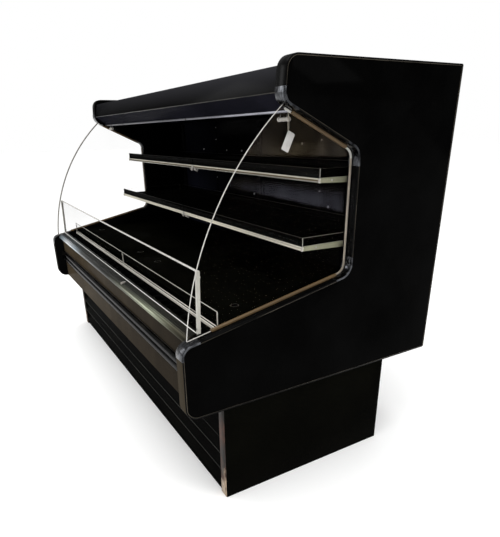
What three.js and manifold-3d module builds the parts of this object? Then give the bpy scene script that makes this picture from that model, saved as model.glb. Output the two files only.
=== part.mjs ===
// Semi-vertical self-service refrigerated deli case, built as separate pieces.
// Units are millimetres. +Z is up, the customer side faces -Y, +X is to the customer's right.
// The origin is the bottom centre of the overall box.
import * as THREE from "three";
import * as BufferGeometryUtils from "three/addons/utils/BufferGeometryUtils.js";
import Module from "manifold-3d";

const wasm = await Module();
wasm.setup();

// ---------------------------------------------------------------- overall sizes
const caseLength = 1924;
const caseDepth = 1020;
const caseHeight = 1320;
const gap = 0.3; // between pieces that touch
const halfLength = caseLength / 2;
const frontY = -caseDepth / 2;
const backY = caseDepth / 2;

// ---------------------------------------------------------------- end panels
const endThickness = 44;
const trimThickness = 5;
const bodyBottomZ = 345;
const endBottomZ = bodyBottomZ - 3;
const mouthBackY = 97; // upright edge of the C shaped end
const canopyFrontY = frontY + 332;
const lowerSlopeFrontZ = 579; // top of the low front, at the front face
const lowerSlopeRise = 0.203;
const upperSlopeFrontZ = caseHeight - 110.5; // underside of the canopy, at the canopy front
const upperSlopeFall = 0.469;
const innerX = halfLength - endThickness; // inside face of the end panels

// ---------------------------------------------------------------- end glass
const glassThickness = 6;
const glassInset = 26; // outside of the end to the glass
const glassArcCentreY = frontY + 943.5;
const glassArcCentreZ = caseHeight - 818;
const glassArcRadius = 918;
const glassLift = 3.3; // glass edge above the trim
const channelHeight = 9;
const channelWall = 2.6;
const slotClearance = 0.4;
const channelFrontY = frontY + 108; // front end of the channel on the low front
const channelTopFrontY = canopyFrontY + 42; // front end of the channel under the canopy
const glassOuterX = halfLength - glassInset;
const glassInnerX = glassOuterX - glassThickness;

// ---------------------------------------------------------------- insulated body
const wallThickness = 60;
const roofThickness = 44;
const bodyFrontY = frontY + 64;
const bodyFrontTopZ = 560;
const bodyFrontThickness = 40;
const bodyBackY = backY - trimThickness - 1;
const bodyTopZ = caseHeight - trimThickness - 3;
const bodyFloorZ = bodyBottomZ + 7;
const bodyRoofFrontY = canopyFrontY + 50;
const roofSlopeRun = 110; // the roof falls to the fascia over this depth
const tubFloorZ = bodyFloorZ + wallThickness;

// ---------------------------------------------------------------- duct panel and uprights
const ductPanelY = backY - 144; // front face of the rear duct panel
const sheet = 2;
const ductBottomZ = 440;
const ceilingZ = caseHeight - 126;
const ceilingFrontY = canopyFrontY + 128;
const standardWidth = 26;
const standardDepth = 14;
const standardBottomZ = 640;
const standardTopZ = ceilingZ - 14;
const standardWeb = 4;

// ---------------------------------------------------------------- canopy
const fasciaTopY = canopyFrontY + 20;
const fasciaTopZ = caseHeight - 24;
const ridgeY = canopyFrontY + 6;
const ridgeZ = caseHeight - 89;
const fasciaBottomY = canopyFrontY + 59;
const fasciaBottomZ = caseHeight - 130;
const fasciaSheet = 3;
const stripDepth = 10;
const stripHeight = 7;
const diffuserFrontY = canopyFrontY + 70;
const diffuserBottomZ = fasciaBottomZ;
const diffuserHeight = 22;
const diffuserBars = 7;
const diffuserFrame = 5;
const lampRadius = 8;
const lampHolderRadius = 10.5;
const lampHolderLength = 54;
const lampY = canopyFrontY + 74;
const lampZ = fasciaBottomZ - 20;
const lampEndX = innerX - 32;

// ---------------------------------------------------------------- shelves
const shelfBackY = ductPanelY - 26;
const shelfOuterX = innerX - 12;
const shelfInnerX = 3;
const lipRise = 24; // front lip above the deck
const backRise = 16;
const armThickness = 5;
const armFrontDepth = 14;
const armBackDepth = 27;
const crossBarDepth = 12;
const crossBarHeight = 16;
const lampStripHeight = 13;
const lampStripDepth = 5.5;
const lampGroove = 3;
const dividerThickness = 3;
const dividerRise = 25;
const dividerEndY = shelfBackY - 22;
const upperShelf = { level: "upper", frontY: 0, deckZ: 1005 };
const lowerShelf = { level: "lower", frontY: -57, deckZ: 803 };

// ---------------------------------------------------------------- deck, fence, grille
const deckTopZ = 613;
const deckFrontY = frontY + 152;
const deckBackY = ductPanelY - 20;
const deckFlange = 22;
const deckOuterX = innerX - 6;
const fenceY = deckFrontY - 12;
const fenceThickness = 4;
const fenceTopZ = 650.5;
const fenceBottomZ = 588;
const fenceOuterX = innerX - 4;
const fenceHolderHeight = 15;
const fenceHolderWall = 4;
const fenceHolderBase = 5;
const grilleFrontY = frontY + 86;
const grilleBackY = frontY + 130;
const grilleTopZ = 587;
const grilleThickness = 3;
const grilleSlots = 30;
const grilleSlotLength = 26;
const grilleSlotWidth = 42;

// ---------------------------------------------------------------- front glass and front panels
const frontGlassY = frontY + 73; // middle of the pane at its foot
const frontGlassTopZ = 784;
const frontGlassBottomZ = 588;
const frontGlassThickness = 6;
const frontGlassLean = 7; // top leans back by this much
const frontGlassHalf = innerX - 4; // in the rail, between the ends
const frontGlassUpperHalf = innerX + 7.5; // above the ends, out to the end panes
const railSlotWidth = frontGlassThickness + 2.4;
const postWidth = 11;
const postDepth = 10;
const postBottomZ = 600.5;
const panelY = frontY + 50; // face of the front panels
const panelThickness = 3;
const noseY = frontY + 32;
const bumperTopZ = 492;
const bumperBottomZ = 440;
const bumperY = frontY + 31;
const upperPanelTopZ = 571.7;
const lowerPanelBottomZ = 342;

// ---------------------------------------------------------------- base
const baseFrontY = frontY + 126;
const baseBackY = backY - 219;
const baseTopZ = 341;
const baseEndThickness = 36;
const baseEndInset = 1;
const louvrePitch = 65;
const louvreDepth = 14;
const louvreFirstZ = 30;
const louvreCount = 5;
const kickBottomZ = 6;
const kickSheet = 3;
const frameTube = 30;
const frameHalfX = innerX - 18;
const trayThickness = 5;
const trayZ = 14;
const rearSlotCount = 7;
const rearSlotFirstZ = 60;
const rearSlotHeight = 12;
const rearSlotStartX = 180;
const rearSlotLength = 440;

// ---------------------------------------------------------------- cooling machinery
const fanRadius = 70;
const fanHubRadius = 24;
const fanBlades = 5;
const plenumY = -150;
const plenumThickness = 4;
const plenumBottomZ = 414;
const plenumTopZ = 586;
const fanX = -420;
const fanZ = 500;
const fanHoleClearance = 6;
const coilHalfX = innerX - 198;
const coilFrontY = 60;
const coilBackY = 200;
const coilBottomZ = 440;
const coilTopZ = 580;
const compressorX = 420;
const compressorY = -60;
const compressorRadius = 92;
const compressorHeight = 215;
const condenserHalfX = 150;
const condenserX = -120;
const condenserFrontY = baseFrontY + 54;
const condenserBackY = condenserFrontY + 60;
const condenserTopZ = 300;
const condenserFanY = condenserBackY + 34;
const condenserFanZ = 165;

// ---------------------------------------------------------------- small pieces
const switchX = innerX - 112;
const switchY = canopyFrontY + 158;
const switchLength = 22;
const switchWidth = 14;
const switchRise = 3.5;
const switchClearance = 1.5;
const tagX = innerX - 22;
const tagY = canopyFrontY + 64;
const tagWidth = 26;
const tagHeight = 46;
const tagThickness = 1.2;
const tagStringLength = 47;
const tagStringRadius = 0.9;
const tagDrop = 0.6; // room for the string to swing under the strip

const group = new THREE.Group();
group.name = "refrigeratedDeliCase";

function finish(name, geometry, colour, roughness, metalness) {
  const material = new THREE.MeshStandardMaterial({ color: colour, roughness, metalness });
  const mesh = new THREE.Mesh(geometry, material);
  mesh.name = name;
  group.add(mesh);
  return mesh;
}

function point(u, v) {
  return new THREE.Vector2(u, v);
}

function box(x0, x1, y0, y1, z0, z1) {
  const geometry = new THREE.BoxGeometry(x1 - x0, y1 - y0, z1 - z0);
  geometry.translate((x0 + x1) / 2, (y0 + y1) / 2, (z0 + z1) / 2);
  return geometry;
}

// A (y, z) outline drawn out along X.
function alongX(outline, x0, x1, holes = []) {
  const shape = new THREE.Shape(outline);
  for (const hole of holes) {
    shape.holes.push(new THREE.Path(hole));
  }
  const geometry = new THREE.ExtrudeGeometry(shape, { depth: x1 - x0, bevelEnabled: false });
  geometry.applyMatrix4(new THREE.Matrix4().set(0, 0, 1, x0, 1, 0, 0, 0, 0, 1, 0, 0, 0, 0, 0, 1));
  return geometry;
}

// An (x, y) outline drawn up along Z.
function alongZ(outline, z0, z1, holes = []) {
  const shape = new THREE.Shape(outline);
  for (const hole of holes) {
    shape.holes.push(new THREE.Path(hole));
  }
  const geometry = new THREE.ExtrudeGeometry(shape, { depth: z1 - z0, bevelEnabled: false });
  geometry.translate(0, 0, z0);
  return geometry;
}

function rectangle(u0, u1, v0, v1) {
  return [point(u0, v0), point(u1, v0), point(u1, v1), point(u0, v1)];
}

function toManifold(geometry) {
  const bare = geometry.clone();
  bare.deleteAttribute("normal");
  bare.deleteAttribute("uv");
  const merged = BufferGeometryUtils.mergeVertices(bare, 1e-4);
  return new wasm.Manifold(
    new wasm.Mesh({
      numProp: 3,
      vertProperties: new Float32Array(merged.attributes.position.array),
      triVerts: new Uint32Array(merged.index.array),
    }),
  );
}

function fromManifold(solid) {
  const mesh = solid.getMesh();
  const geometry = new THREE.BufferGeometry();
  geometry.setAttribute("position", new THREE.BufferAttribute(mesh.vertProperties, 3));
  geometry.setIndex(new THREE.BufferAttribute(mesh.triVerts, 1));
  geometry.computeVertexNormals();
  return geometry;
}

function union(...pieces) {
  return fromManifold(pieces.map(toManifold).reduce((a, b) => a.add(b)));
}

function subtract(body, ...cutters) {
  return fromManifold(cutters.map(toManifold).reduce((a, b) => a.subtract(b), toManifold(body)));
}

function mirrored(geometry) {
  const copy = geometry.clone();
  copy.scale(-1, 1, 1);
  if (!copy.index) {
    copy.setIndex([...Array(copy.attributes.position.count).keys()]);
  }
  const index = copy.index.array;
  for (let i = 0; i < index.length; i += 3) {
    [index[i], index[i + 1]] = [index[i + 1], index[i]];
  }
  copy.computeVertexNormals();
  return copy;
}

function addPair(name, geometry, colour, roughness, metalness) {
  finish(`${name}Right`, geometry, colour, roughness, metalness);
  finish(`${name}Left`, mirrored(geometry), colour, roughness, metalness);
}

// ---------------------------------------------------------------- the C shaped end outline
function lowerSlopeZ(y) {
  return lowerSlopeFrontZ + lowerSlopeRise * (y - frontY);
}

function upperSlopeZ(y) {
  return upperSlopeFrontZ - upperSlopeFall * (y - canopyFrontY);
}

const endCorners = [
  { y: backY, z: endBottomZ, radius: 6 },
  { y: backY, z: caseHeight, radius: 6 },
  { y: canopyFrontY + 9, z: caseHeight, radius: 40 },
  { y: canopyFrontY, z: upperSlopeFrontZ, radius: 38 },
  { y: mouthBackY, z: upperSlopeZ(mouthBackY), radius: -38 },
  { y: mouthBackY, z: lowerSlopeZ(mouthBackY), radius: -40 },
  { y: frontY, z: lowerSlopeFrontZ, radius: 37 },
  { y: frontY, z: endBottomZ, radius: 42 },
];
const arcSteps = 8;

// The end outline moved inwards by `inset` (outwards when negative), corners rounded.
// Each point remembers which corner it belongs to.
function endOutline(inset) {
  const count = endCorners.length;
  const lines = endCorners.map((corner, i) => {
    const next = endCorners[(i + 1) % count];
    const direction = point(next.y - corner.y, next.z - corner.z).normalize();
    const normal = point(-direction.y, direction.x); // left side is the inside
    return { start: point(corner.y, corner.z).addScaledVector(normal, inset), direction };
  });
  const points = [];
  for (let i = 0; i < count; i += 1) {
    const before = lines[(i + count - 1) % count];
    const after = lines[i];
    const cross = before.direction.x * after.direction.y - before.direction.y * after.direction.x;
    const offset = after.start.clone().sub(before.start);
    const along = (offset.x * after.direction.y - offset.y * after.direction.x) / cross;
    const corner = before.start.clone().addScaledVector(before.direction, along);
    const signed = endCorners[i].radius;
    const radius = Math.max(0.5, signed > 0 ? signed - inset : -signed + inset);
    const turn = Math.acos(before.direction.dot(after.direction));
    const tangent = radius * Math.tan(turn / 2);
    const from = corner.clone().addScaledVector(before.direction, -tangent);
    const side = signed > 0 ? 1 : -1;
    const centre = from
      .clone()
      .addScaledVector(point(-before.direction.y, before.direction.x), side * radius);
    const startAngle = Math.atan2(from.y - centre.y, from.x - centre.x);
    for (let step = 0; step <= arcSteps; step += 1) {
      const angle = startAngle + (side * turn * step) / arcSteps;
      const onArc = point(
        centre.x + radius * Math.cos(angle),
        centre.y + radius * Math.sin(angle),
      );
      onArc.corner = i;
      points.push(onArc);
    }
  }
  return points;
}

// The mouth of the C, from the canopy underside down to the low front.
function mouthPath(offset, topFrontY, lowFrontY) {
  const edge = endOutline(-offset);
  const mouth = edge.filter((p) => p.corner === 4 || p.corner === 5);
  const first = mouth[0];
  const last = mouth[mouth.length - 1];
  const top = point(topFrontY, first.y + upperSlopeFall * (first.x - topFrontY));
  const low = point(lowFrontY, last.y - lowerSlopeRise * (last.x - lowFrontY));
  return [top, ...mouth, low];
}

const blackPaint = 0x0b0b0d;
const blackRubber = 0x121212;
const clear = 0xdfe8e6;
const cream = 0xe0dac0;
const steel = 0xb9bdc0;
const white = 0xf2f1ea;

// End panels with their edge trim.
const endPanel = alongX(endOutline(trimThickness + gap), innerX, halfLength);
addPair("endPanel", endPanel, blackPaint, 0.12, 0);
const endTrim = alongX(endOutline(0), innerX, halfLength, [endOutline(trimThickness)]);
addPair("endTrim", endTrim, blackRubber, 0.35, 0);

// End glass: an arc at the front, the rest follows the mouth of the end panel.
function glassArc(fromZ, toZ, radius, steps) {
  const points = [];
  for (let step = 0; step <= steps; step += 1) {
    const z = fromZ + ((toZ - fromZ) * step) / steps;
    const across = Math.sqrt(radius ** 2 - (z - glassArcCentreZ) ** 2);
    points.push(point(glassArcCentreY - across, z));
  }
  return points;
}

function glassOutline(grow) {
  const lift = glassLift - grow;
  const radius = glassArcRadius + grow;
  const topY = canopyFrontY + 10;
  const lowY = frontY + 24;
  const path = mouthPath(lift, topY, lowY);
  const top = path[0];
  const low = path[path.length - 1];
  const arc = glassArc(low.y, top.y, radius, 22);
  return [...path.slice(1, -1), ...arc];
}

const endGlass = alongX(glassOutline(0), glassInnerX, glassOuterX);
addPair("endGlass", endGlass, clear, 0.05, 0);

// Channel that holds the glass: a band along the mouth with a slot the shape of the glass.
const channelOuter = mouthPath(gap, channelTopFrontY, channelFrontY);
const channelInner = mouthPath(gap + channelHeight, channelTopFrontY, channelFrontY);
const channelBand = alongX(
  [...channelOuter, ...channelInner.reverse()],
  glassInnerX - channelWall,
  glassOuterX + channelWall,
);
const glassSlot = alongX(
  glassOutline(slotClearance),
  glassInnerX - slotClearance,
  glassOuterX + slotClearance,
);
addPair("glassChannel", subtract(channelBand, glassSlot), cream, 0.5, 0);

// Insulated body: floor, front wall, back wall and roof foamed as one shell.
const shellX = innerX - gap;
const bodyOutline = [
  point(bodyFrontY, bodyFloorZ),
  point(bodyBackY, bodyFloorZ),
  point(bodyBackY, bodyTopZ),
  point(bodyRoofFrontY + roofSlopeRun, bodyTopZ),
  point(bodyRoofFrontY, fasciaTopZ),
  point(bodyRoofFrontY, bodyTopZ - roofThickness),
  point(bodyBackY - wallThickness, bodyTopZ - roofThickness),
  point(bodyBackY - wallThickness, tubFloorZ),
  point(bodyFrontY + bodyFrontThickness, tubFloorZ),
  point(bodyFrontY + bodyFrontThickness, bodyFrontTopZ),
  point(bodyFrontY, bodyFrontTopZ),
];
finish("insulatedBody", alongX(bodyOutline, -shellX, shellX), blackPaint, 0.25, 0);

// Rear duct panel bent forward at the top into the canopy ceiling.
const ductOutline = [
  point(ductPanelY, ductBottomZ),
  point(ductPanelY + sheet, ductBottomZ),
  point(ductPanelY + sheet, ceilingZ + sheet),
  point(ceilingFrontY, ceilingZ + sheet),
  point(ceilingFrontY, ceilingZ),
  point(ductPanelY, ceilingZ),
];
finish("ductPanel", alongX(ductOutline, -shellX, shellX), blackPaint, 0.3, 0);

// Uprights that carry the shelves, open to the back.
function upright(x) {
  const back = ductPanelY - gap;
  const front = back - standardDepth;
  const left = x - standardWidth / 2;
  const right = x + standardWidth / 2;
  const channel = [
    point(left, front),
    point(right, front),
    point(right, back),
    point(right - standardWeb, back),
    point(right - standardWeb, front + standardWeb),
    point(left + standardWeb, front + standardWeb),
    point(left + standardWeb, back),
    point(left, back),
  ];
  return alongZ(channel, standardBottomZ, standardTopZ);
}

const standardX = shelfOuterX - armThickness - standardWidth / 2 + 4;
finish("shelfStandardRight", upright(standardX), blackPaint, 0.35, 0.2);
finish("shelfStandardMiddle", upright(0), blackPaint, 0.35, 0.2);
finish("shelfStandardLeft", upright(-standardX), blackPaint, 0.35, 0.2);

// Canopy fascia: one sheet with a ridge, returned over the roof edge.
const fasciaOutline = [
  point(bodyRoofFrontY - gap, fasciaTopZ),
  point(fasciaTopY + 3, fasciaTopZ),
  point(fasciaTopY, fasciaTopZ - 2),
  point(ridgeY, ridgeZ),
  point(fasciaBottomY, fasciaBottomZ),
  point(fasciaBottomY + 2, fasciaBottomZ + fasciaSheet),
  point(ridgeY + fasciaSheet, ridgeZ + 1.5),
  point(fasciaTopY + fasciaSheet + 1, fasciaTopZ - 4),
  point(bodyRoofFrontY - gap, fasciaTopZ - 4),
];
const fasciaHalf = innerX - gap;
finish("canopyFascia", alongX(fasciaOutline, -fasciaHalf, fasciaHalf), blackPaint, 0.15, 0);

// Bright strip along the lower edge of the canopy.
const stripTopZ = fasciaBottomZ - gap;
const stripOutline = [
  point(fasciaBottomY - 1, stripTopZ),
  point(fasciaBottomY - 1, stripTopZ - stripHeight),
  point(fasciaBottomY - 1 + stripDepth, stripTopZ - stripHeight),
  point(fasciaBottomY - 1 + stripDepth, stripTopZ),
];
finish("canopyStrip", alongX(stripOutline, -fasciaHalf, fasciaHalf), steel, 0.2, 0.9);

// Air outlet behind the strip: a frame with long bars.
const diffuserBackY = ceilingFrontY - 1;
const diffuserTopZ = diffuserBottomZ + diffuserHeight;
const diffuserHoles = [];
const diffuserPitch = (2 * (fasciaHalf - diffuserFrame)) / diffuserBars;
for (let i = 0; i < diffuserBars; i += 1) {
  const from = -fasciaHalf + diffuserFrame * 1.5 + i * diffuserPitch;
  diffuserHoles.push(
    box(
      from,
      from + diffuserPitch - diffuserFrame,
      diffuserFrontY + diffuserFrame,
      diffuserBackY - diffuserFrame,
      diffuserBottomZ - 1,
      diffuserTopZ + 1,
    ),
  );
}
const diffuser = box(
  -fasciaHalf,
  fasciaHalf,
  diffuserFrontY,
  diffuserBackY,
  diffuserBottomZ,
  diffuserTopZ,
);
finish("airDiffuser", subtract(diffuser, ...diffuserHoles), 0x1c1d20, 0.5, 0);

// Canopy lamp: a tube with a thicker holder at each end, turned as one solid.
const lampProfile = [
  point(0, -lampEndX),
  point(lampHolderRadius, -lampEndX),
  point(lampHolderRadius, -lampEndX + lampHolderLength),
  point(lampRadius, -lampEndX + lampHolderLength),
  point(lampRadius, lampEndX - lampHolderLength),
  point(lampHolderRadius, lampEndX - lampHolderLength),
  point(lampHolderRadius, lampEndX),
  point(0, lampEndX),
];
const lamp = new THREE.LatheGeometry(lampProfile, 16);
lamp.rotateZ(-Math.PI / 2);
lamp.translate(0, lampY, lampZ);
finish("canopyLamp", lamp, white, 0.4, 0);

// One shelf unit: folded deck, welded arm frame, lamp strip and clear end divider.
function shelfDeckOutline(shelf) {
  const front = shelf.frontY;
  const z = shelf.deckZ;
  return [
    point(front, z - 3),
    point(front + sheet, z - 3),
    point(front + sheet, z - sheet),
    point(shelfBackY, z - sheet),
    point(shelfBackY, z + backRise),
    point(shelfBackY - sheet, z + backRise),
    point(shelfBackY - sheet, z),
    point(front + sheet, z),
    point(front + sheet, z + lipRise),
    point(front, z + lipRise),
  ];
}

function shelfFrame(shelf, innerEnd, outerEnd) {
  const top = shelf.deckZ - sheet - gap;
  const front = shelf.frontY + 2 * sheet;
  const back = ductPanelY - standardDepth - 2 * gap;
  const arm = [
    point(front, top - armFrontDepth),
    point(back, top - armBackDepth),
    point(back, top),
    point(front, top),
  ];
  const bar = box(
    innerEnd,
    outerEnd,
    shelfBackY - crossBarDepth,
    shelfBackY,
    top - crossBarHeight,
    top,
  );
  return union(
    alongX(arm, innerEnd, innerEnd + armThickness),
    alongX(arm, outerEnd - armThickness, outerEnd),
    bar,
  );
}

function lampStripOutline(shelf) {
  const top = shelf.deckZ - 3 - gap;
  const bottom = top - lampStripHeight;
  const front = shelf.frontY - 2;
  const back = front + lampStripDepth;
  const third = lampStripHeight / 3;
  return [
    point(front, bottom),
    point(back, bottom),
    point(back, top),
    point(front, top),
    point(front, top - third),
    point(front + lampGroove, top - third),
    point(front + lampGroove, bottom + third),
    point(front, bottom + third),
  ];
}

for (const shelf of [upperShelf, lowerShelf]) {
  const deck = alongX(shelfDeckOutline(shelf), shelfInnerX, shelfOuterX - dividerThickness - gap);
  addPair(`${shelf.level}Shelf`, deck, blackPaint, 0.3, 0);
  const frame = shelfFrame(shelf, shelfInnerX, shelfOuterX);
  addPair(`${shelf.level}ShelfFrame`, frame, cream, 0.45, 0);
  const strip = alongX(lampStripOutline(shelf), shelfInnerX, shelfOuterX);
  addPair(`${shelf.level}LampStrip`, strip, white, 0.35, 0);
  const divider = box(
    shelfOuterX - dividerThickness,
    shelfOuterX,
    shelf.frontY,
    dividerEndY,
    shelf.deckZ - sheet,
    shelf.deckZ + dividerRise,
  );
  addPair(`${shelf.level}Divider`, divider, clear, 0.05, 0);
}

// Lift-out deck pans over the cooling coil.
const deckPanOutline = [
  point(deckFrontY, deckTopZ - deckFlange),
  point(deckFrontY + sheet, deckTopZ - deckFlange),
  point(deckFrontY + sheet, deckTopZ - sheet),
  point(deckBackY - sheet, deckTopZ - sheet),
  point(deckBackY - sheet, deckTopZ - deckFlange),
  point(deckBackY, deckTopZ - deckFlange),
  point(deckBackY, deckTopZ),
  point(deckFrontY, deckTopZ),
];
addPair("deckPan", alongX(deckPanOutline, 1, deckOuterX), blackPaint, 0.3, 0);

// Clear product fence in two lengths, standing in one slotted holder.
const fenceGapHalf = 1.5;
const fence = box(
  fenceGapHalf,
  fenceOuterX,
  fenceY - fenceThickness / 2,
  fenceY + fenceThickness / 2,
  fenceBottomZ,
  fenceTopZ,
);
addPair("innerFence", fence, clear, 0.05, 0);
const holderSlot = fenceThickness / 2 + slotClearance;
const holderHalf = holderSlot + fenceHolderWall;
const holderFoot = fenceBottomZ - gap - fenceHolderBase;
const holderOutline = [
  point(fenceY - holderHalf, holderFoot),
  point(fenceY + holderHalf, holderFoot),
  point(fenceY + holderHalf, holderFoot + fenceHolderHeight),
  point(fenceY + holderSlot, holderFoot + fenceHolderHeight),
  point(fenceY + holderSlot, fenceBottomZ - gap),
  point(fenceY - holderSlot, fenceBottomZ - gap),
  point(fenceY - holderSlot, holderFoot + fenceHolderHeight),
  point(fenceY - holderHalf, holderFoot + fenceHolderHeight),
];
finish("fenceHolder", alongX(holderOutline, -fenceOuterX, fenceOuterX), cream, 0.4, 0);

// Return air grille between the front glass and the fence.
const grilleHalf = fenceOuterX;
const grillePitch = (2 * grilleHalf) / grilleSlots;
const grilleHoles = [];
const grilleMiddleY = (grilleFrontY + grilleBackY) / 2;
for (let i = 0; i < grilleSlots; i += 1) {
  const middle = -grilleHalf + (i + 0.5) * grillePitch;
  grilleHoles.push(
    box(
      middle - grilleSlotWidth / 2,
      middle + grilleSlotWidth / 2,
      grilleMiddleY - grilleSlotLength / 2,
      grilleMiddleY + grilleSlotLength / 2,
      grilleTopZ - grilleThickness - 1,
      grilleTopZ + 1,
    ),
  );
}
const grille = box(
  -grilleHalf,
  grilleHalf,
  grilleFrontY,
  grilleBackY,
  grilleTopZ - grilleThickness,
  grilleTopZ,
);
finish("returnGrille", subtract(grille, ...grilleHoles), blackPaint, 0.4, 0);

// Bright nose rail: ribbed front, slot for the front glass.
const slotFront = frontGlassY - railSlotWidth / 2;
const slotBack = frontGlassY + railSlotWidth / 2;
const railTopZ = 599;
const slotFloorZ = frontGlassBottomZ - gap;
const railRear = slotBack + 5;
const noseOutline = [
  point(noseY, 574),
  point(noseY + 3, 572),
  point(bodyFrontY - 3, 572),
  point(bodyFrontY - 3, 566),
  point(railRear, 566),
  point(railRear, railTopZ),
  point(slotBack, railTopZ),
  point(slotBack, slotFloorZ),
  point(slotFront, slotFloorZ),
  point(slotFront, railTopZ),
  point(slotFront - 4, railTopZ),
  point(slotFront - 4, railTopZ - 2),
  point(slotFront - 8, railTopZ - 2),
  point(slotFront - 8, railTopZ - 4),
  point(slotFront - 12, railTopZ - 4),
  point(slotFront - 12, railTopZ - 6.5),
  point(slotFront - 18, railTopZ - 8),
  point(noseY + 12, 589),
  point(noseY + 5, 585),
  point(noseY + 1, 580),
];
finish("noseRail", alongX(noseOutline, -fasciaHalf, fasciaHalf), steel, 0.2, 0.9);

// Front glass, leaning back a little, with an end post at each side.
const glassBend = frontGlassLean / (frontGlassTopZ - frontGlassBottomZ);
function leaningY(z) {
  return frontGlassY + glassBend * (z - frontGlassBottomZ);
}

function leaningStrip(fromZ, toZ, front, back) {
  return [
    point(leaningY(fromZ) + front, fromZ),
    point(leaningY(fromZ) + back, fromZ),
    point(leaningY(toZ) + back, toZ),
    point(leaningY(toZ) + front, toZ),
  ];
}

const paneHalf = frontGlassThickness / 2;
const upperPane = alongX(
  leaningStrip(postBottomZ, frontGlassTopZ, -paneHalf, paneHalf),
  -frontGlassUpperHalf,
  frontGlassUpperHalf,
);
const railPane = alongX(
  leaningStrip(frontGlassBottomZ, frontGlassTopZ, -paneHalf, paneHalf),
  -frontGlassHalf,
  frontGlassHalf,
);
finish("frontGlass", union(upperPane, railPane), clear, 0.05, 0);
const postInnerX = frontGlassUpperHalf - postWidth + 2;
const postSolid = alongX(
  leaningStrip(postBottomZ, frontGlassTopZ + 2, -postDepth / 2, postDepth / 2),
  postInnerX,
  postInnerX + postWidth,
);
const postSlot = alongX(
  leaningStrip(
    postBottomZ - 5,
    frontGlassTopZ + slotClearance,
    -paneHalf - slotClearance,
    paneHalf + slotClearance,
  ),
  postInnerX - 5,
  frontGlassUpperHalf + slotClearance,
);
addPair("frontGlassPost", subtract(postSolid, postSlot), white, 0.4, 0);

// Front panels and the bumper between them.
const panelBack = panelY + panelThickness;
const upperFrontPanel = box(
  -fasciaHalf,
  fasciaHalf,
  panelY,
  panelBack,
  bumperTopZ + gap,
  upperPanelTopZ,
);
finish("upperFrontPanel", upperFrontPanel, blackPaint, 0.1, 0);
const bumperMiddleZ = (bumperTopZ + bumperBottomZ) / 2;
const bumperHalfZ = (bumperTopZ - bumperBottomZ) / 2;
const bumperOutline = [
  point(panelBack, bumperBottomZ),
  point(panelBack, bumperTopZ),
  point(bumperY + 8, bumperTopZ),
  point(bumperY + 2, bumperTopZ - 3),
  point(bumperY, bumperTopZ - 8),
  point(bumperY + 2, bumperTopZ - 13),
  point(bumperY + 6, bumperMiddleZ + bumperHalfZ / 4),
  point(bumperY + 6, bumperMiddleZ - bumperHalfZ / 4),
  point(bumperY + 2, bumperBottomZ + 13),
  point(bumperY, bumperBottomZ + 8),
  point(bumperY + 2, bumperBottomZ + 3),
  point(bumperY + 8, bumperBottomZ),
];
bumperOutline.reverse();
finish("bumperRail", alongX(bumperOutline, -fasciaHalf, fasciaHalf), blackRubber, 0.2, 0);
const underReturn = [
  point(panelY, lowerPanelBottomZ),
  point(bodyFrontY + 40, lowerPanelBottomZ),
  point(bodyFrontY + 40, lowerPanelBottomZ + panelThickness),
  point(panelBack, lowerPanelBottomZ + panelThickness),
  point(panelBack, bumperBottomZ - gap),
  point(panelY, bumperBottomZ - gap),
];
finish("lowerFrontPanel", alongX(underReturn, -fasciaHalf, fasciaHalf), blackPaint, 0.1, 0);

// Base: frame with tray, end panels, louvred kick grille, slotted rear grille.
const baseEndOuterX = halfLength - baseEndInset;
const baseEndInnerX = baseEndOuterX - baseEndThickness;
const baseEnd = box(baseEndInnerX, baseEndOuterX, baseFrontY, baseBackY, 0, baseTopZ);
addPair("baseEnd", baseEnd, blackPaint, 0.3, 0);

const frameFrontY = baseFrontY + 40;
const frameBackY = baseBackY - 20;
const frameTopZ = bodyFloorZ - gap;
const frameRing = alongZ(
  rectangle(-frameHalfX, frameHalfX, frameFrontY, frameBackY),
  frameTopZ - frameTube,
  frameTopZ,
  [
    rectangle(
      -frameHalfX + frameTube,
      frameHalfX - frameTube,
      frameFrontY + frameTube,
      frameBackY - frameTube,
    ),
  ],
);
const framePieces = [
  frameRing,
  box(-frameHalfX, frameHalfX, frameFrontY, frameBackY, trayZ, trayZ + trayThickness),
];
for (const x of [-frameHalfX, frameHalfX - frameTube]) {
  for (const y of [frameFrontY, frameBackY - frameTube]) {
    framePieces.push(box(x, x + frameTube, y, y + frameTube, 0, frameTopZ - frameTube / 2));
  }
}
finish("baseFrame", union(...framePieces), 0x2a2b2d, 0.5, 0.3);

// Kick grille: a folded sheet, each louvre leaning out over the one below.
const kickFace = [];
const kickBackFace = [];
const kickTopZ = baseTopZ - 2;
kickFace.push(point(baseFrontY + louvreDepth, kickBottomZ));
kickBackFace.push(point(baseFrontY + louvreDepth + kickSheet, kickBottomZ));
for (let i = 0; i < louvreCount; i += 1) {
  const z = louvreFirstZ + i * louvrePitch;
  kickFace.push(point(baseFrontY + louvreDepth, z - 8), point(baseFrontY, z));
  kickBackFace.push(point(baseFrontY + louvreDepth + kickSheet, z - 6));
  kickBackFace.push(point(baseFrontY + kickSheet, z + 3));
}
kickFace.push(point(baseFrontY + louvreDepth - 4, kickTopZ));
kickBackFace.push(point(baseFrontY + louvreDepth - 1, kickTopZ));
const kickOutline = [...kickFace.reverse(), ...kickBackFace];
const kickHalf = baseEndInnerX - 1;
finish("kickGrille", alongX(kickOutline, -kickHalf, kickHalf), blackPaint, 0.25, 0);

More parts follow.
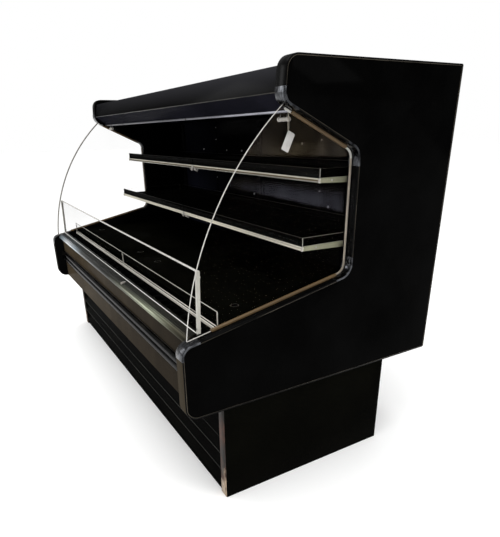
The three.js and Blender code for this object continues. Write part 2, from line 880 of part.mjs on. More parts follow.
const rearGrilleHoles = [];
const rearSlotPitch = (baseTopZ - 80) / rearSlotCount;
for (let i = 0; i < rearSlotCount; i += 1) {
  const z = rearSlotFirstZ + i * rearSlotPitch;
  for (const from of [-rearSlotStartX - rearSlotLength, rearSlotStartX]) {
    const cutter = box(
      from,
      from + rearSlotLength,
      baseBackY - kickSheet - 1,
      baseBackY + 1,
      z,
      z + rearSlotHeight,
    );
    rearGrilleHoles.push(cutter);
  }
}
const rearGrille = box(
  -kickHalf,
  kickHalf,
  baseBackY - kickSheet,
  baseBackY,
  kickBottomZ,
  kickTopZ,
);
finish("rearGrille", subtract(rearGrille, ...rearGrilleHoles), blackPaint, 0.4, 0);

// Fan: a hub with flat pitched blades, turned about the Y axis.
function fan(x, y, z, radius) {
  const hub = new THREE.CylinderGeometry(fanHubRadius, fanHubRadius, 22, 16);
  const pieces = [hub];
  for (let i = 0; i < fanBlades; i += 1) {
    const blade = new THREE.BoxGeometry(radius - fanHubRadius + 6, 3, 42);
    blade.rotateX(0.5);
    blade.translate((radius + fanHubRadius - 6) / 2, 0, 0);
    blade.rotateY((2 * Math.PI * i) / fanBlades);
    pieces.push(blade);
  }
  const solid = union(...pieces);
  solid.translate(x, y, z);
  return solid;
}

const plenum = box(
  -shelfOuterX,
  shelfOuterX,
  plenumY,
  plenumY + plenumThickness,
  plenumBottomZ,
  plenumTopZ,
);
const fanHoleRadius = fanRadius + fanHoleClearance;
const fanHole = new THREE.CylinderGeometry(fanHoleRadius, fanHoleRadius, 20, 32);
fanHole.translate(fanX, plenumY, fanZ);
finish("fanPlenum", subtract(plenum, fanHole), 0x8f9498, 0.4, 0.6);
finish("evaporatorFan", fan(fanX, plenumY + plenumThickness / 2, fanZ, fanRadius), 0x24262a, 0.5, 0);
const coil = box(-coilHalfX, coilHalfX, coilFrontY, coilBackY, coilBottomZ, coilTopZ);
finish("evaporatorCoil", coil, 0xa9afb3, 0.4, 0.8);

const machineFloor = trayZ + trayThickness + gap;
const compressorProfile = [point(0, 0), point(compressorRadius * 0.8, 0)];
const domeSteps = 6;
for (let i = 0; i <= domeSteps; i += 1) {
  const angle = (i / domeSteps) * (Math.PI / 2);
  compressorProfile.push(
    point(
      compressorRadius * (i === domeSteps ? 0 : Math.cos(angle)),
      compressorHeight - 60 + 60 * Math.sin(angle),
    ),
  );
}
compressorProfile.splice(2, 0, point(compressorRadius, 18));
const compressor = new THREE.LatheGeometry(compressorProfile, 28);
compressor.rotateX(Math.PI / 2);
compressor.translate(compressorX, compressorY, machineFloor);
finish("compressor", compressor, 0x17181a, 0.4, 0.2);
const condenser = box(
  condenserX - condenserHalfX,
  condenserX + condenserHalfX,
  condenserFrontY,
  condenserBackY,
  machineFloor,
  condenserTopZ,
);
finish("condenserCoil", condenser, 0x9a9fa3, 0.4, 0.8);
finish("condenserFan", fan(condenserX, condenserFanY, condenserFanZ, fanRadius + 24), 0x24262a, 0.5, 0);

// Rocker switch under the canopy ceiling and a blank hanging tag.
const rocker = alongX(
  [
    point(switchY - switchLength / 2, ceilingZ - switchRise - switchClearance),
    point(switchY + switchLength / 2, ceilingZ - switchRise - switchClearance),
    point(switchY + switchLength / 2 - 2, ceilingZ - switchClearance),
    point(switchY - switchLength / 2 + 2, ceilingZ - switchClearance),
  ],
  switchX - switchWidth / 2,
  switchX + switchWidth / 2,
);
finish("lightSwitch", rocker, 0x1a1a1a, 0.4, 0);

// The tag hangs by one corner, so its middle is straight below the string.
const stringTopZ = stripTopZ - stripHeight - tagDrop;
const stringBottomZ = stringTopZ - tagStringLength;
const stringSink = 3; // string let into the corner of the tag
const tagString = new THREE.CylinderGeometry(
  tagStringRadius,
  tagStringRadius,
  tagStringLength + stringSink,
  8,
);
tagString.rotateX(Math.PI / 2);
tagString.translate(tagX, tagY, stringTopZ - (tagStringLength + stringSink) / 2);
const tagPlate = new THREE.BoxGeometry(tagThickness, tagWidth, tagHeight);
tagPlate.rotateX(-Math.atan(tagWidth / tagHeight));
tagPlate.translate(tagX, tagY, stringBottomZ - Math.hypot(tagWidth, tagHeight) / 2);
finish("hangTag", union(tagString, tagPlate), white, 0.8, 0);

export default group;
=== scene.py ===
# Refrigerated deli case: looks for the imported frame, in metres, +Z up, customer side -Y.
import math

import bmesh
import bpy
from mathutils import Matrix, Vector


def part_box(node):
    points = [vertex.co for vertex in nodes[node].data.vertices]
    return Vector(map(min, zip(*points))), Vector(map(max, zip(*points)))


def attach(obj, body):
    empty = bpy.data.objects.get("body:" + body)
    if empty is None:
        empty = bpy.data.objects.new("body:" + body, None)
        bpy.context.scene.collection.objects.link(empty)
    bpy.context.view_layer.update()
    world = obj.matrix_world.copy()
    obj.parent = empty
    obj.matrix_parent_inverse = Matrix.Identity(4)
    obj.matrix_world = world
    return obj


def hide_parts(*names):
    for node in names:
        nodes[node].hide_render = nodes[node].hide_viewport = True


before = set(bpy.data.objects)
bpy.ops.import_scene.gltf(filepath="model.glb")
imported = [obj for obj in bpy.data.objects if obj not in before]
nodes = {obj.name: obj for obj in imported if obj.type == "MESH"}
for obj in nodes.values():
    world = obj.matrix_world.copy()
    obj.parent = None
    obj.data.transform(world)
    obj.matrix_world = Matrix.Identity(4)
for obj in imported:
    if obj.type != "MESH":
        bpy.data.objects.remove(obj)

mm = 0.001
scene = bpy.context.scene
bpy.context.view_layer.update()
print("stage: frame loaded,", len(nodes), "nodes")


def colour(*display):  # display values 0..255 to scene linear
    linear = [((v / 255 + 0.055) / 1.055) ** 2.4 if v > 10 else v / 3294.6 for v in display]
    return (*linear, 1.0)


# Shader maths
class Wire:
    def __init__(self, finish, socket):
        self.finish = finish
        self.socket = socket

    def reckon(self, operation, other, swapped=False):
        pair = {0: other, 1: self} if swapped else {0: self, 1: other}
        return self.finish.node("ShaderNodeMath", {"operation": operation}, pair)

    def __add__(self, other):
        return self.reckon("ADD", other)

    def __radd__(self, other):
        return self.reckon("ADD", other, True)

    def __sub__(self, other):
        return self.reckon("SUBTRACT", other)

    def __rsub__(self, other):
        return self.reckon("SUBTRACT", other, True)

    def __mul__(self, other):
        return self.reckon("MULTIPLY", other)

    def __rmul__(self, other):
        return self.reckon("MULTIPLY", other, True)

    def __pow__(self, other):
        return self.reckon("POWER", other)

    def between(self, low, high):  # 0 below low, 1 above high
        values = {"Value": self, "From Min": low, "From Max": high}
        return self.finish.node("ShaderNodeMapRange", {"clamp": True}, values)


class Finish:
    def __init__(self, name, **fixed):
        self.material = bpy.data.materials.new(name)
        self.material.use_nodes = True
        self.tree = self.material.node_tree
        self.shader = self.tree.nodes["Principled BSDF"]
        self.place = None
        self.feed(**fixed)

    def plug(self, target, value):
        if isinstance(value, Wire):
            self.tree.links.new(value.socket, target)
        elif target.type == "RGBA" and len(value) == 3:
            target.default_value = colour(*value)
        else:
            target.default_value = value

    def node(self, kind, settings=None, sockets=None, output=0):
        made = self.tree.nodes.new(kind)
        for key, value in (settings or {}).items():
            if key == "stops":
                self.setStops(made.color_ramp, value)
            else:
                setattr(made, key, value)
        for key, value in (sockets or {}).items():
            self.plug(made.inputs[key], value)
        return Wire(self, made.outputs[output])

    def setStops(self, ramp, stops):
        while len(ramp.elements) < len(stops):
            ramp.elements.new(0.5)
        for element, (position, tone) in zip(ramp.elements, stops):
            element.position = position
            element.color = tone

    def feed(self, **values):  # baseColor="..." goes to the socket "Base Color"
        for name, value in values.items():
            label = "".join(" " + c if c.isupper() else c for c in name).strip().title()
            label = {"Specular Level": "Specular IOR Level", "Ior": "IOR"}.get(label, label)
            self.plug(self.shader.inputs[label], value)

    def coords(self):
        if self.place is None:
            self.place = self.node("ShaderNodeTexCoord", output="Object")
        return self.place

    def axis(self, name):
        return self.node("ShaderNodeSeparateXYZ", None, {0: self.coords()}, name)

    def stretched(self, stretch, shift=(0, 0, 0)):
        sockets = {"Vector": self.coords(), "Scale": stretch, "Location": shift}
        return self.node("ShaderNodeMapping", None, sockets)

    def noise(self, scale, stretch=(1, 1, 1), detail=3.0, shift=(0, 0, 0)):
        sockets = {"Vector": self.stretched(stretch, shift), "Scale": scale, "Detail": detail}
        return self.node("ShaderNodeTexNoise", None, sockets)

    def mix(self, first, second, share):
        return self.node("ShaderNodeMix", {"data_type": "RGBA"}, {0: share, 6: first, 7: second}, 2)

    def bump(self, height, strength, distance):
        sockets = {"Height": height, "Strength": strength, "Distance": distance}
        self.feed(normal=self.node("ShaderNodeBump", None, sockets))


# Finishes
def enamel(name, look):  # sprayed and baked paint: orange peel, dust, hairlines
    finish = Finish(name, roughness=look["roughness"], specularLevel=0.0)
    cloud = finish.noise(5.0, look.get("stretch", (1, 1, 1)), 4.0)
    dust = finish.noise(420.0, detail=2.0).between(0.62, 0.8)
    hairs = finish.noise(70.0, look.get("hairs", (1, 14, 1)), 3.0).between(0.63, 0.7)
    tone = finish.mix(look["dark"], look["light"], cloud.between(0.3, 0.75))
    tone = finish.mix(tone, look["dust"], (dust + hairs * 0.6) * look["dustShare"])
    rough = look["roughness"] + 0.1 * cloud.between(0.35, 0.8) + 0.12 * hairs
    peel = finish.noise(look.get("peel", 260.0), detail=2.0)
    # optional painted light: a paler tone laid over the paint where the given mask says light falls or is
    # reflected
    if "paintedLightTone" in look:
        tone = finish.mix(tone, look["paintedLightTone"], look["paintedLightShare"](finish))
    finish.feed(coatWeight=look["gloss"], coatRoughness=look["roughness"] * 0.6)
    finish.feed(baseColor=tone, roughness=rough)
    finish.bump(peel + 0.4 * hairs, look.get("bump", 0.08), 0.0006)
    return finish


def paintedPaneLight(finish):  # painted light: cool light from the left end pane, strongest low down
    nearLeft = 1 - finish.axis("X").between(-0.93, -0.3)
    low = 1 - finish.axis("Z").between(0.6, 1.0) * 0.8
    return nearLeft ** 1.5 * low * 0.8


def paintedFasciaReflection(finish):  # painted reflection: the fascia is paler high up and near its right end, as if it reflects a ceiling
    nearRight = finish.axis("X").between(-0.9, 0.9)
    return finish.axis("Z").between(1.235, 1.3) * (0.35 + 0.65 * nearRight)


def enamelWithPaintedReflection(name, look):  # gloss enamel with a painted reflection of the room, paler towards the left end
    finish = Finish(name, roughness=look["roughness"], specularLevel=0.0)
    finish.feed(coatWeight=look["gloss"], coatRoughness=look["roughness"])
    run = finish.axis("X").between(-0.95, 0.95)
    cloud = finish.noise(3.0, (2.5, 1, 0.5), 4.0)
    grain = finish.noise(160.0, (0.35, 1, 1), 2.0)
    share = (run * 0.85 + cloud.between(0.35, 0.75) * 0.3).between(0.0, 1.1)
    tone = finish.mix(look["left"], look["right"], share)
    tone = finish.mix(tone, look["right"], grain.between(0.5, 0.72) * 0.35)
    finish.feed(baseColor=tone, roughness=look["roughness"] + cloud * 0.12)
    finish.bump(finish.noise(240.0, detail=2.0), 0.06, 0.0006)
    return finish


def drawnMetal(name, look):  # drawn or brushed metal, grain along one axis
    finish = Finish(name, metallic=look.get("metallic", 1.0), roughness=look["roughness"])
    grain = finish.noise(look.get("grain", 900.0), look["stretch"], 3.0)
    patch = finish.noise(look.get("patch", 6.0), look.get("patchStretch", (1, 1, 1)), 3.0)
    tone = finish.mix(look["dark"], look["light"], patch.between(0.3, 0.7))
    tone = finish.mix(tone, look["dark"], grain.between(0.5, 0.75) * 0.35)
    finish.feed(baseColor=tone, roughness=look["roughness"] + grain * 0.18)
    finish.bump(grain, 0.12, 0.0003)
    return finish


def railMetalWithPaintedReflection(name, look):  # extruded rail whose brightness changes along its length: painted reflections and highlights, with an optional painted glow
    finish = Finish(name, metallic=1.0, roughness=look["roughness"])
    place = finish.axis("X").between(-0.96, 0.96) + 0.02 * finish.noise(5.0, (1, 0, 0), 2.0)
    grain = finish.noise(700.0, (0.02, 1, 1), 3.0)
    stops = [((x + 0.96) / 1.92, colour(*tone)) for x, tone in look["run"]]
    tone = finish.node("ShaderNodeValToRGB", {"stops": stops}, {"Fac": place})
    tone = finish.mix(tone, look["groove"], grain.between(0.45, 0.7) * look["lined"])
    finish.feed(baseColor=tone, roughness=look["roughness"] + 0.2 * grain)
    # painted glow: the rail's own colour given off as weak emission
    finish.feed(emissionColor=tone, emissionStrength=look.get("glow", 0.0))
    finish.bump(grain, 0.2, 0.0004)
    return finish


def moulding(name, look):  # moulded or extruded plastic, fine texture and soft grime
    finish = Finish(name, roughness=look["roughness"], specularLevel=look.get("gloss", 0.4))
    finish.feed(coatWeight=look.get("coat", 0.0), coatRoughness=look["roughness"])
    grime = finish.noise(look.get("grime", 14.0), look.get("stretch", (1, 1, 1)), 5.0)
    stain = finish.noise(60.0, look.get("stretch", (1, 1, 1)), 3.0).between(0.55, 0.8)
    tone = finish.mix(look["light"], look["dark"], grime.between(0.35, 0.75))
    tone = finish.mix(tone, look["stain"], stain * look.get("stainShare", 0.3))
    finish.feed(baseColor=tone, roughness=look["roughness"] + 0.15 * grime)
    finish.bump(finish.noise(look.get("pores", 500.0), detail=2.0), 0.12, 0.0003)
    return finish


# painted reflection: a patchy band between two sloping lines where the glass shows more of the room
def paintedReflectionBand(finish, place):
    height, depth = finish.axis("Z"), finish.axis("Y")
    low = (height + depth * place["lowSlope"]).between(place["low"] - 0.004, place["low"] + 0.006)
    high = (height + depth * place["highSlope"]).between(place["high"] - 0.02, place["high"] + 0.02)
    patchy = finish.noise(9.0, (1, 2.2, 0.9), 5.0, (0.2, 0.4, 0)).between(0.3, 0.75)
    return low * (1 - high) * place["share"] * (0.2 + 0.8 * patchy)


def clearSheet(name, look):  # glass as a mirror that shows only as much as glass reflects
    finish = Finish(name, metallic=1.0, roughness=0.03, specularTint=(0, 0, 0, 1))
    rim = finish.node("ShaderNodeLayerWeight", None, {"Blend": 0.5}, "Facing") ** 5
    smear = finish.noise(3.5, look["stretch"], 5.0).between(0.5, 0.85)
    wipe = finish.noise(26.0, (1, 0.2, 1.4), 4.0).between(0.6, 0.8)
    tone = finish.mix(look["tint"], look["smearTint"], smear)
    share = look["clear"] + rim * look["rim"] + smear * look["smear"] + wipe * look["smear"] * 0.3
    if "upperBand" in look:  # painted reflection of the room: soft bands between two sloping lines
        upper = paintedReflectionBand(finish, look["upperBand"])
        lower = paintedReflectionBand(finish, look["lowerBand"])
        tone = finish.mix(tone, look["bandTint"], lower.between(0.0, 0.05))
        share = share + upper + lower
    finish.feed(baseColor=tone, alpha=share, roughness=0.03 + 0.3 * smear)
    return finish


def polishedEdge(name, look):  # ground and polished edge, lit by the light inside the sheet
    finish = Finish(name, roughness=0.18, specularLevel=0.6)
    chip = finish.noise(90.0, detail=4.0)
    tone = finish.mix(look["light"], look["dark"], chip.between(0.4, 0.8))
    finish.feed(baseColor=tone, roughness=0.12 + 0.25 * chip)
    finish.bump(chip, 0.15, 0.0004)
    return finish


def wornStrip(name, look):  # cream paint worn through to dark metal and rust
    finish = Finish(name, roughness=0.45)
    worn = finish.noise(7.0, (1.5, 1, 0.9), 5.0, (0.3, 0, 0.13))
    rust = finish.noise(38.0, (1, 1, 0.5), 5.0)
    streak = finish.noise(60.0, (2.5, 1, 0.12), 3.0)
    height = finish.axis("Z")
    middle = height.between(0.115, 0.135) * (1 - height.between(0.185, 0.205))
    rubbed = middle + height.between(0.235, 0.26)
    bare = (worn + 0.35 * rust + 0.12 * streak + 0.3 * rubbed).between(0.74, 0.82)
    cream = finish.mix(look["cream"], look["soiled"], streak.between(0.35, 0.7))
    under = finish.mix(look["metal"], look["rust"], rust.between(0.4, 0.65))
    finish.feed(baseColor=finish.mix(cream, under, bare))
    finish.feed(roughness=0.35 + 0.4 * bare)
    finish.bump(1 - bare + 0.3 * rust, 0.3, 0.0006)
    return finish


def finPack(name, look):  # thin fins seen edge on, with painted shade in the gaps between them
    finish = Finish(name, metallic=0.8, roughness=0.4)
    place = finish.axis("X")
    fins = finish.node("ShaderNodeMath", {"operation": "PINGPONG"}, {0: place, 1: look["pitch"]})
    fins = fins.between(0.0, look["pitch"])
    dirt = finish.noise(18.0, detail=4.0).between(0.4, 0.8)
    tone = finish.mix(look["gapShadeTone"], look["light"], fins)
    finish.feed(baseColor=finish.mix(tone, look["dirt"], dirt * 0.5), roughness=0.35 + 0.3 * dirt)
    finish.bump(fins, 0.5, 0.001)
    return finish


def card(name, look):
    finish = Finish(name, roughness=0.75, specularLevel=0.2)
    pulp = finish.noise(300.0, detail=4.0)
    soil = finish.noise(45.0, detail=4.0).between(0.5, 0.75)
    tone = finish.mix(look["light"], look["dark"], pulp.between(0.4, 0.8) * 0.5 + soil * 0.5)
    finish.feed(baseColor=tone)
    finish.bump(pulp, 0.2, 0.0003)
    return finish


finishes = {
    "endPaint": enamel("endPanelEnamel", {
        "dark": (1, 1, 1), "light": (5, 5, 5), "dust": (60, 55, 48),
        "dustShare": 0.05, "roughness": 0.2, "gloss": 0.02, "peel": 300.0, "bump": 0.05}),
    "caseBack": enamel("outerCaseEnamel", {
        "dark": (4, 4, 4), "light": (12, 12, 12), "dust": (70, 66, 60),
        "dustShare": 0.12, "roughness": 0.32, "gloss": 0.12}),
    "fascia": enamel("canopyEnamel", {
        "dark": (5, 5, 5), "light": (9, 9, 9), "dust": (70, 70, 72),
        "dustShare": 0.06, "roughness": 0.3, "gloss": 0.05, "hairs": (1, 1, 12),
        "paintedLightTone": (40, 40, 43), "paintedLightShare": paintedFasciaReflection}),
    "fasciaUnder": enamel("canopyUndersideEnamel", {
        "dark": (16, 16, 21), "light": (25, 25, 32), "dust": (70, 70, 80),
        "dustShare": 0.08, "roughness": 0.4, "gloss": 0.03, "hairs": (1, 1, 12)}),
    "linerPaint": enamel("linerEnamel", {
        "dark": (2, 2, 2), "light": (5, 5, 6), "dust": (50, 50, 60),
        "dustShare": 0.06, "roughness": 0.3, "gloss": 0.02, "hairs": (14, 1, 1)}),
    "backPaint": enamel("backPanelEnamel", {
        "dark": (2, 2, 2), "light": (6, 6, 7), "dust": (44, 44, 52),
        "dustShare": 0.04, "roughness": 0.3, "gloss": 0.02, "hairs": (14, 1, 1),
        "paintedLightTone": (50, 52, 68), "paintedLightShare": paintedPaneLight}),
    "shelfPaint": enamel("shelfEnamel", {
        "dark": (3, 3, 3), "light": (6, 6, 5), "dust": (70, 68, 62),
        "dustShare": 0.08, "roughness": 0.28, "gloss": 0.03}),
    "deckPaint": enamel("deckEnamel", {
        "dark": (3, 3, 2), "light": (6, 6, 4), "dust": (60, 58, 54),
        "dustShare": 0.06, "roughness": 0.3, "gloss": 0.015}),
    "basePaint": enamel("baseEnamel", {
        "dark": (2, 2, 1), "light": (5, 5, 3), "dust": (70, 62, 52),
        "dustShare": 0.08, "roughness": 0.3, "gloss": 0.02}),
    "kickPaint": enamel("kickEnamel", {
        "dark": (3, 3, 3), "light": (8, 8, 7), "dust": (80, 74, 66),
        "dustShare": 0.1, "roughness": 0.3, "gloss": 0.02}),
    # painted highlight: the louvre lips are paler than the grille where they catch the light
    "kickLipHighlight": enamel("kickLipEnamel", {
        "dark": (42, 42, 40), "light": (64, 63, 60), "dust": (100, 96, 88),
        "dustShare": 0.2, "roughness": 0.3, "gloss": 0.1}),
    "framePaint": enamel("frameEnamel", {
        "dark": (18, 18, 19), "light": (34, 34, 36), "dust": (110, 90, 70),
        "dustShare": 0.4, "roughness": 0.45, "gloss": 0.2}),
    "compressorPaint": enamel("compressorEnamel", {
        "dark": (8, 8, 9), "light": (20, 20, 22), "dust": (110, 95, 75),
        "dustShare": 0.3, "roughness": 0.35, "gloss": 0.3}),
    "bracketPaint": enamel("bracketEnamel", {
        "dark": (108, 108, 90), "light": (140, 140, 118), "dust": (80, 76, 60),
        "dustShare": 0.25, "roughness": 0.35, "gloss": 0.2}),
    "uprightPaint": enamel("uprightEnamel", {
        "dark": (8, 8, 9), "light": (18, 18, 20), "dust": (120, 118, 110),
        "dustShare": 0.15, "roughness": 0.35, "gloss": 0.04}),
    # the front panels are black gloss; their brownish tones are a painted reflection of the room
    "frontPaintWithReflection": enamelWithPaintedReflection("frontPanelEnamel", {
        "left": (62, 54, 42), "right": (26, 22, 17), "roughness": 0.16,
        "gloss": 0.05}),
    # painted reflection: brownish grey on the low front faces of the end trim, strongest at the right end
    "trimFrontWithReflection": enamelWithPaintedReflection("trimFrontEnamel", {
        "left": (8, 8, 8), "right": (54, 48, 38), "roughness": 0.2,
        "gloss": 0.05}),
    "trim": moulding("edgeTrimVinyl", {
        "light": (6, 6, 6), "dark": (2, 2, 2), "stain": (24, 22, 19),
        "stainShare": 0.2, "roughness": 0.2, "gloss": 0.04}),
    "bead": drawnMetal("trimBeadMetal", {
        "light": (96, 90, 80), "dark": (26, 24, 21), "roughness": 0.25,
        "stretch": (1, 0.3, 0.3), "patch": 9.0}),
    "cap": drawnMetal("cornerCapBlackChrome", {
        "light": (92, 94, 98), "dark": (7, 7, 8), "roughness": 0.12,
        "stretch": (0.2, 1, 1), "patch": 46.0, "patchStretch": (3, 1, 1)}),
    # painted highlights and reflections: the nose rail and its ribs brighten and darken along their length
    "nose": railMetalWithPaintedReflection("noseRailAluminium", {
        "roughness": 0.2, "groove": (30, 30, 28), "lined": 0.35,
        "glow": 0.3,
        "run": ((-0.95, (70, 74, 74)), (-0.82, (160, 176, 186)), (-0.68, (250, 253, 255)),
                (-0.5, (156, 170, 178)), (-0.36, (62, 64, 62)), (0.1, (40, 40, 37)),
                (0.42, (92, 94, 82)), (0.66, (132, 136, 118)), (0.82, (76, 74, 62)),
                (0.95, (34, 31, 26)))}),
    "noseRib": railMetalWithPaintedReflection("noseRibAluminium", {
        "roughness": 0.3, "groove": (10, 10, 10), "lined": 0.7,
        "run": ((-0.95, (40, 42, 42)), (-0.6, (104, 112, 114)), (-0.3, (78, 78, 74)),
                (0.3, (58, 58, 54)), (0.6, (74, 74, 66)), (0.95, (44, 42, 36)))}),
    "brightStrip": drawnMetal("canopyStripAluminium", {
        "light": (116, 116, 122), "dark": (80, 80, 86), "roughness": 0.2,
        "stretch": (0.03, 1, 1), "patch": 5.0}),
    # painted highlight: the lower bumper strip brightens towards the right end
    "bumperEdge": railMetalWithPaintedReflection("bumperEdgeMetal", {
        "roughness": 0.25, "groove": (16, 15, 13), "lined": 0.3,
        "run": ((-0.95, (22, 21, 19)), (-0.2, (26, 25, 22)), (0.1, (60, 57, 50)), (0.4, (120, 116, 106)),
                (0.9, (150, 146, 134)))}),
    "seamSteel": drawnMetal("bumperSeamMetal", {
        "light": (38, 35, 30), "dark": (14, 13, 11), "roughness": 0.3,
        "stretch": (0.05, 1, 1), "patch": 8.0}),
    "steel": drawnMetal("fixingSteel", {
        "light": (205, 205, 205), "dark": (120, 120, 120), "roughness": 0.2,
        "stretch": (1, 1, 1), "patch": 60.0}),
    "darkSteel": drawnMetal("darkRollingSteel", {
        "light": (70, 68, 62), "dark": (22, 21, 19), "roughness": 0.25,
        "stretch": (0.05, 1, 1), "patch": 8.0}),
    "copper": drawnMetal("copperTube", {
        "light": (205, 130, 90), "dark": (120, 66, 44), "roughness": 0.25,
        "stretch": (1, 1, 1), "patch": 20.0}),
    "tanStrap": moulding("channelVinyl", {
        "light": (96, 76, 48), "dark": (74, 58, 37), "stain": (44, 36, 26),
        "stainShare": 0.35, "roughness": 0.35, "stretch": (1, 0.5, 0.5), "grime": 9.0}),
    "gasket": moulding("gasketVinyl", {
        "light": (158, 149, 136), "dark": (124, 113, 99), "stain": (100, 91, 78),
        "roughness": 0.35, "stretch": (1, 0.4, 0.4)}),
    "lampWhite": moulding("lampStripWhite", {
        "light": (205, 200, 184), "dark": (166, 162, 148), "stain": (120, 116, 104),
        "roughness": 0.3, "stretch": (0.15, 1, 1)}),
    "lampLens": moulding("lampLensRibbed", {
        "light": (140, 137, 128), "dark": (84, 82, 76), "stain": (90, 88, 80),
        "roughness": 0.2, "gloss": 0.6, "stretch": (0.3, 1, 1)}),
    "lampGroove": moulding("lampGrooveBrown", {
        "light": (104, 92, 70), "dark": (78, 68, 50), "stain": (50, 44, 34),
        "roughness": 0.4, "gloss": 0.1, "stretch": (0.3, 1, 1)}),
    "footWhite": moulding("glassFootWhite", {
        "light": (214, 213, 208), "dark": (186, 184, 178), "stain": (140, 136, 126),
        "roughness": 0.3, "stretch": (0.2, 1, 1)}),
    "postWhite": moulding("endPostWhite", {
        "light": (176, 174, 166), "dark": (150, 147, 138), "stain": (140, 134, 118),
        "roughness": 0.35}),
    "holderCream": moulding("fenceHolderCream", {
        "light": (212, 208, 198), "dark": (176, 171, 160), "stain": (140, 132, 118),
        "roughness": 0.35, "stretch": (0.2, 1, 1)}),
    "nylon": moulding("connectorNylon", {
        "light": (176, 172, 166), "dark": (134, 129, 122), "stain": (130, 124, 112),
        "roughness": 0.4}),
    "blackPlastic": moulding("grilleBlack", {
        "light": (6, 6, 6), "dark": (2, 2, 2), "stain": (40, 38, 35),
        "stainShare": 0.12, "roughness": 0.4, "gloss": 0.0}),
    "bumper": moulding("bumperVinyl", {
        "light": (6, 6, 6), "dark": (2, 2, 2), "stain": (54, 50, 44),
        "stainShare": 0.25, "roughness": 0.14, "gloss": 0.0, "coat": 0.25, "stretch": (0.2, 1, 1),
        "pores": 40.0}),
    "clear": clearSheet("clearGlass", {
        "tint": (0.012, 0.0125, 0.013, 1), "smearTint": (0.014, 0.012, 0.01, 1), "clear": 0.004,
        "rim": 0.2, "smear": 0.02, "stretch": (1, 1.2, 0.6)}),
    # the right end pane's brown mirror tint and its two bands are painted reflections of the room
    "endClear": clearSheet("endPaneGlass", {
        "tint": (0.15, 0.115, 0.072, 1), "smearTint": (0.08, 0.08, 0.1, 1), "clear": 0.002,
        "rim": 0.2, "smear": 0.01, "stretch": (1, 1.6, 0.5), "bandTint": (0.1, 0.1, 0.125, 1),
        "upperBand": {"low": 1.065, "lowSlope": 0.05, "high": 1.2, "highSlope": 0.3, "share": 0.22},
        "lowerBand": {"low": 0.918, "lowSlope": 0.26, "high": 0.965, "highSlope": 0.14,
        "share": 0.2}}),
    "acrylic": clearSheet("clearAcrylic", {
        "tint": (0.02, 0.02, 0.019, 1), "smearTint": (0.02, 0.017, 0.014, 1), "clear": 0.006,
        "rim": 0.2, "smear": 0.02, "stretch": (0.6, 1, 1)}),
    "glassEdge": polishedEdge("polishedGlassEdge", {
        "light": (182, 179, 174), "dark": (134, 130, 124)}),
    "shadedEdge": polishedEdge("shadedGlassEdge", {
        "light": (128, 124, 118), "dark": (98, 94, 88)}),
    "acrylicEdge": polishedEdge("polishedAcrylicEdge", {
        "light": (176, 173, 165), "dark": (128, 125, 117)}),
    "wornCream": wornStrip("wornCornerPaint", {
        "cream": (176, 156, 132), "soiled": (112, 92, 72), "metal": (26, 20, 15),
        "rust": (70, 40, 24)}),
    "fins": finPack("coilFins", {
        "pitch": 0.002, "light": (190, 194, 196), "gapShadeTone": (40, 42, 44),
        "dirt": (90, 84, 74)}),
    "tagCard": card("blankTagCard", {"light": (208, 207, 205), "dark": (172, 170, 166)}),
    "string": card("tagString", {"light": (214, 206, 190), "dark": (150, 142, 126)}),
}
print("stage: finishes made,", len(finishes))


# Shapes: each returns (points, faces), and piece() joins them into one object
def prism(outline, x0, x1):  # a (y, z) outline drawn along X
    count = len(outline)
    points = [(x, y, z) for x in (x0, x1) for y, z in outline]
    faces = [tuple(range(count)), tuple(range(2 * count - 1, count - 1, -1))]
    for i in range(count):
        j = (i + 1) % count
        faces.append((i, j, count + j, count + i))
    return points, faces


def block(low, high):
    outline = [(low[1], low[2]), (high[1], low[2]), (high[1], high[2]), (low[1], high[2])]
    return prism(outline, low[0], high[0])


def loft(rings, closed=False):  # rings of equal length joined in order
    count = len(rings[0])
    points = [tuple(p) for ring in rings for p in ring]
    faces = []
    steps = len(rings) if closed else len(rings) - 1
    for i in range(steps):
        a = i * count
        b = ((i + 1) % len(rings)) * count
        for j in range(count):
            k = (j + 1) % count
            faces.append((a + j, a + k, b + k, b + j))
    if not closed:
        faces.append(tuple(range(count)))
        faces.append(tuple(range(len(points) - 1, len(points) - count - 1, -1)))
    return points, faces


def tube(path, radius, sides=10, closed=False):
    path = [Vector(p) for p in path]
    rings = []
    side = None
    for i, here in enumerate(path):
        before = path[i - 1] if i or closed else here
        after = path[(i + 1) % len(path)] if i + 1 < len(path) or closed else here
        along = (after - before).normalized()
        if side is None:
            side = along.orthogonal().normalized()
        side = (side - along * side.dot(along)).normalized()
        other = along.cross(side)
        turns = [2 * math.pi * s / sides for s in range(sides)]
        rings.append([here + (side * math.cos(a) + other * math.sin(a)) * radius for a in turns])
    return loft(rings, closed)


def rod(x0, x1, y, z, radius, sides=10):  # a round bar along X
    return tube([(x0, y, z), (x1, y, z)], radius, sides)


def turned(profile, centre, axis, sides=28):  # (distance along axis, radius) turned about axis
    along = Vector(axis).normalized()
    side = along.orthogonal().normalized()
    other = along.cross(side)
    rings = []
    for distance, radius in profile:
        turns = [2 * math.pi * s / sides for s in range(sides)]
        middle = Vector(centre) + along * distance
        rings.append([middle + (side * math.cos(a) + other * math.sin(a)) * radius for a in turns])
    return loft(rings)


def band(path, section, closed=False):  # (x, out) section carried along a (y, z) path
    rings = []
    for i, (y, z) in enumerate(path):
        before = path[i - 1] if i or closed else path[i]
        after = path[(i + 1) % len(path)] if i + 1 < len(path) or closed else path[i]
        along = Vector((after[0] - before[0], after[1] - before[1])).normalized()
        out = Vector((along.y, -along.x))
        rings.append([(x, y + out.x * away, z + out.y * away) for x, away in section])
    return loft(rings, closed)


def flipped(shape):  # the same shape on the other side of x = 0
    points, faces = shape
    return [(-x, y, z) for x, y, z in points], [tuple(reversed(f)) for f in faces]


def sided(shape, side):
    return shape if side > 0 else flipped(shape)


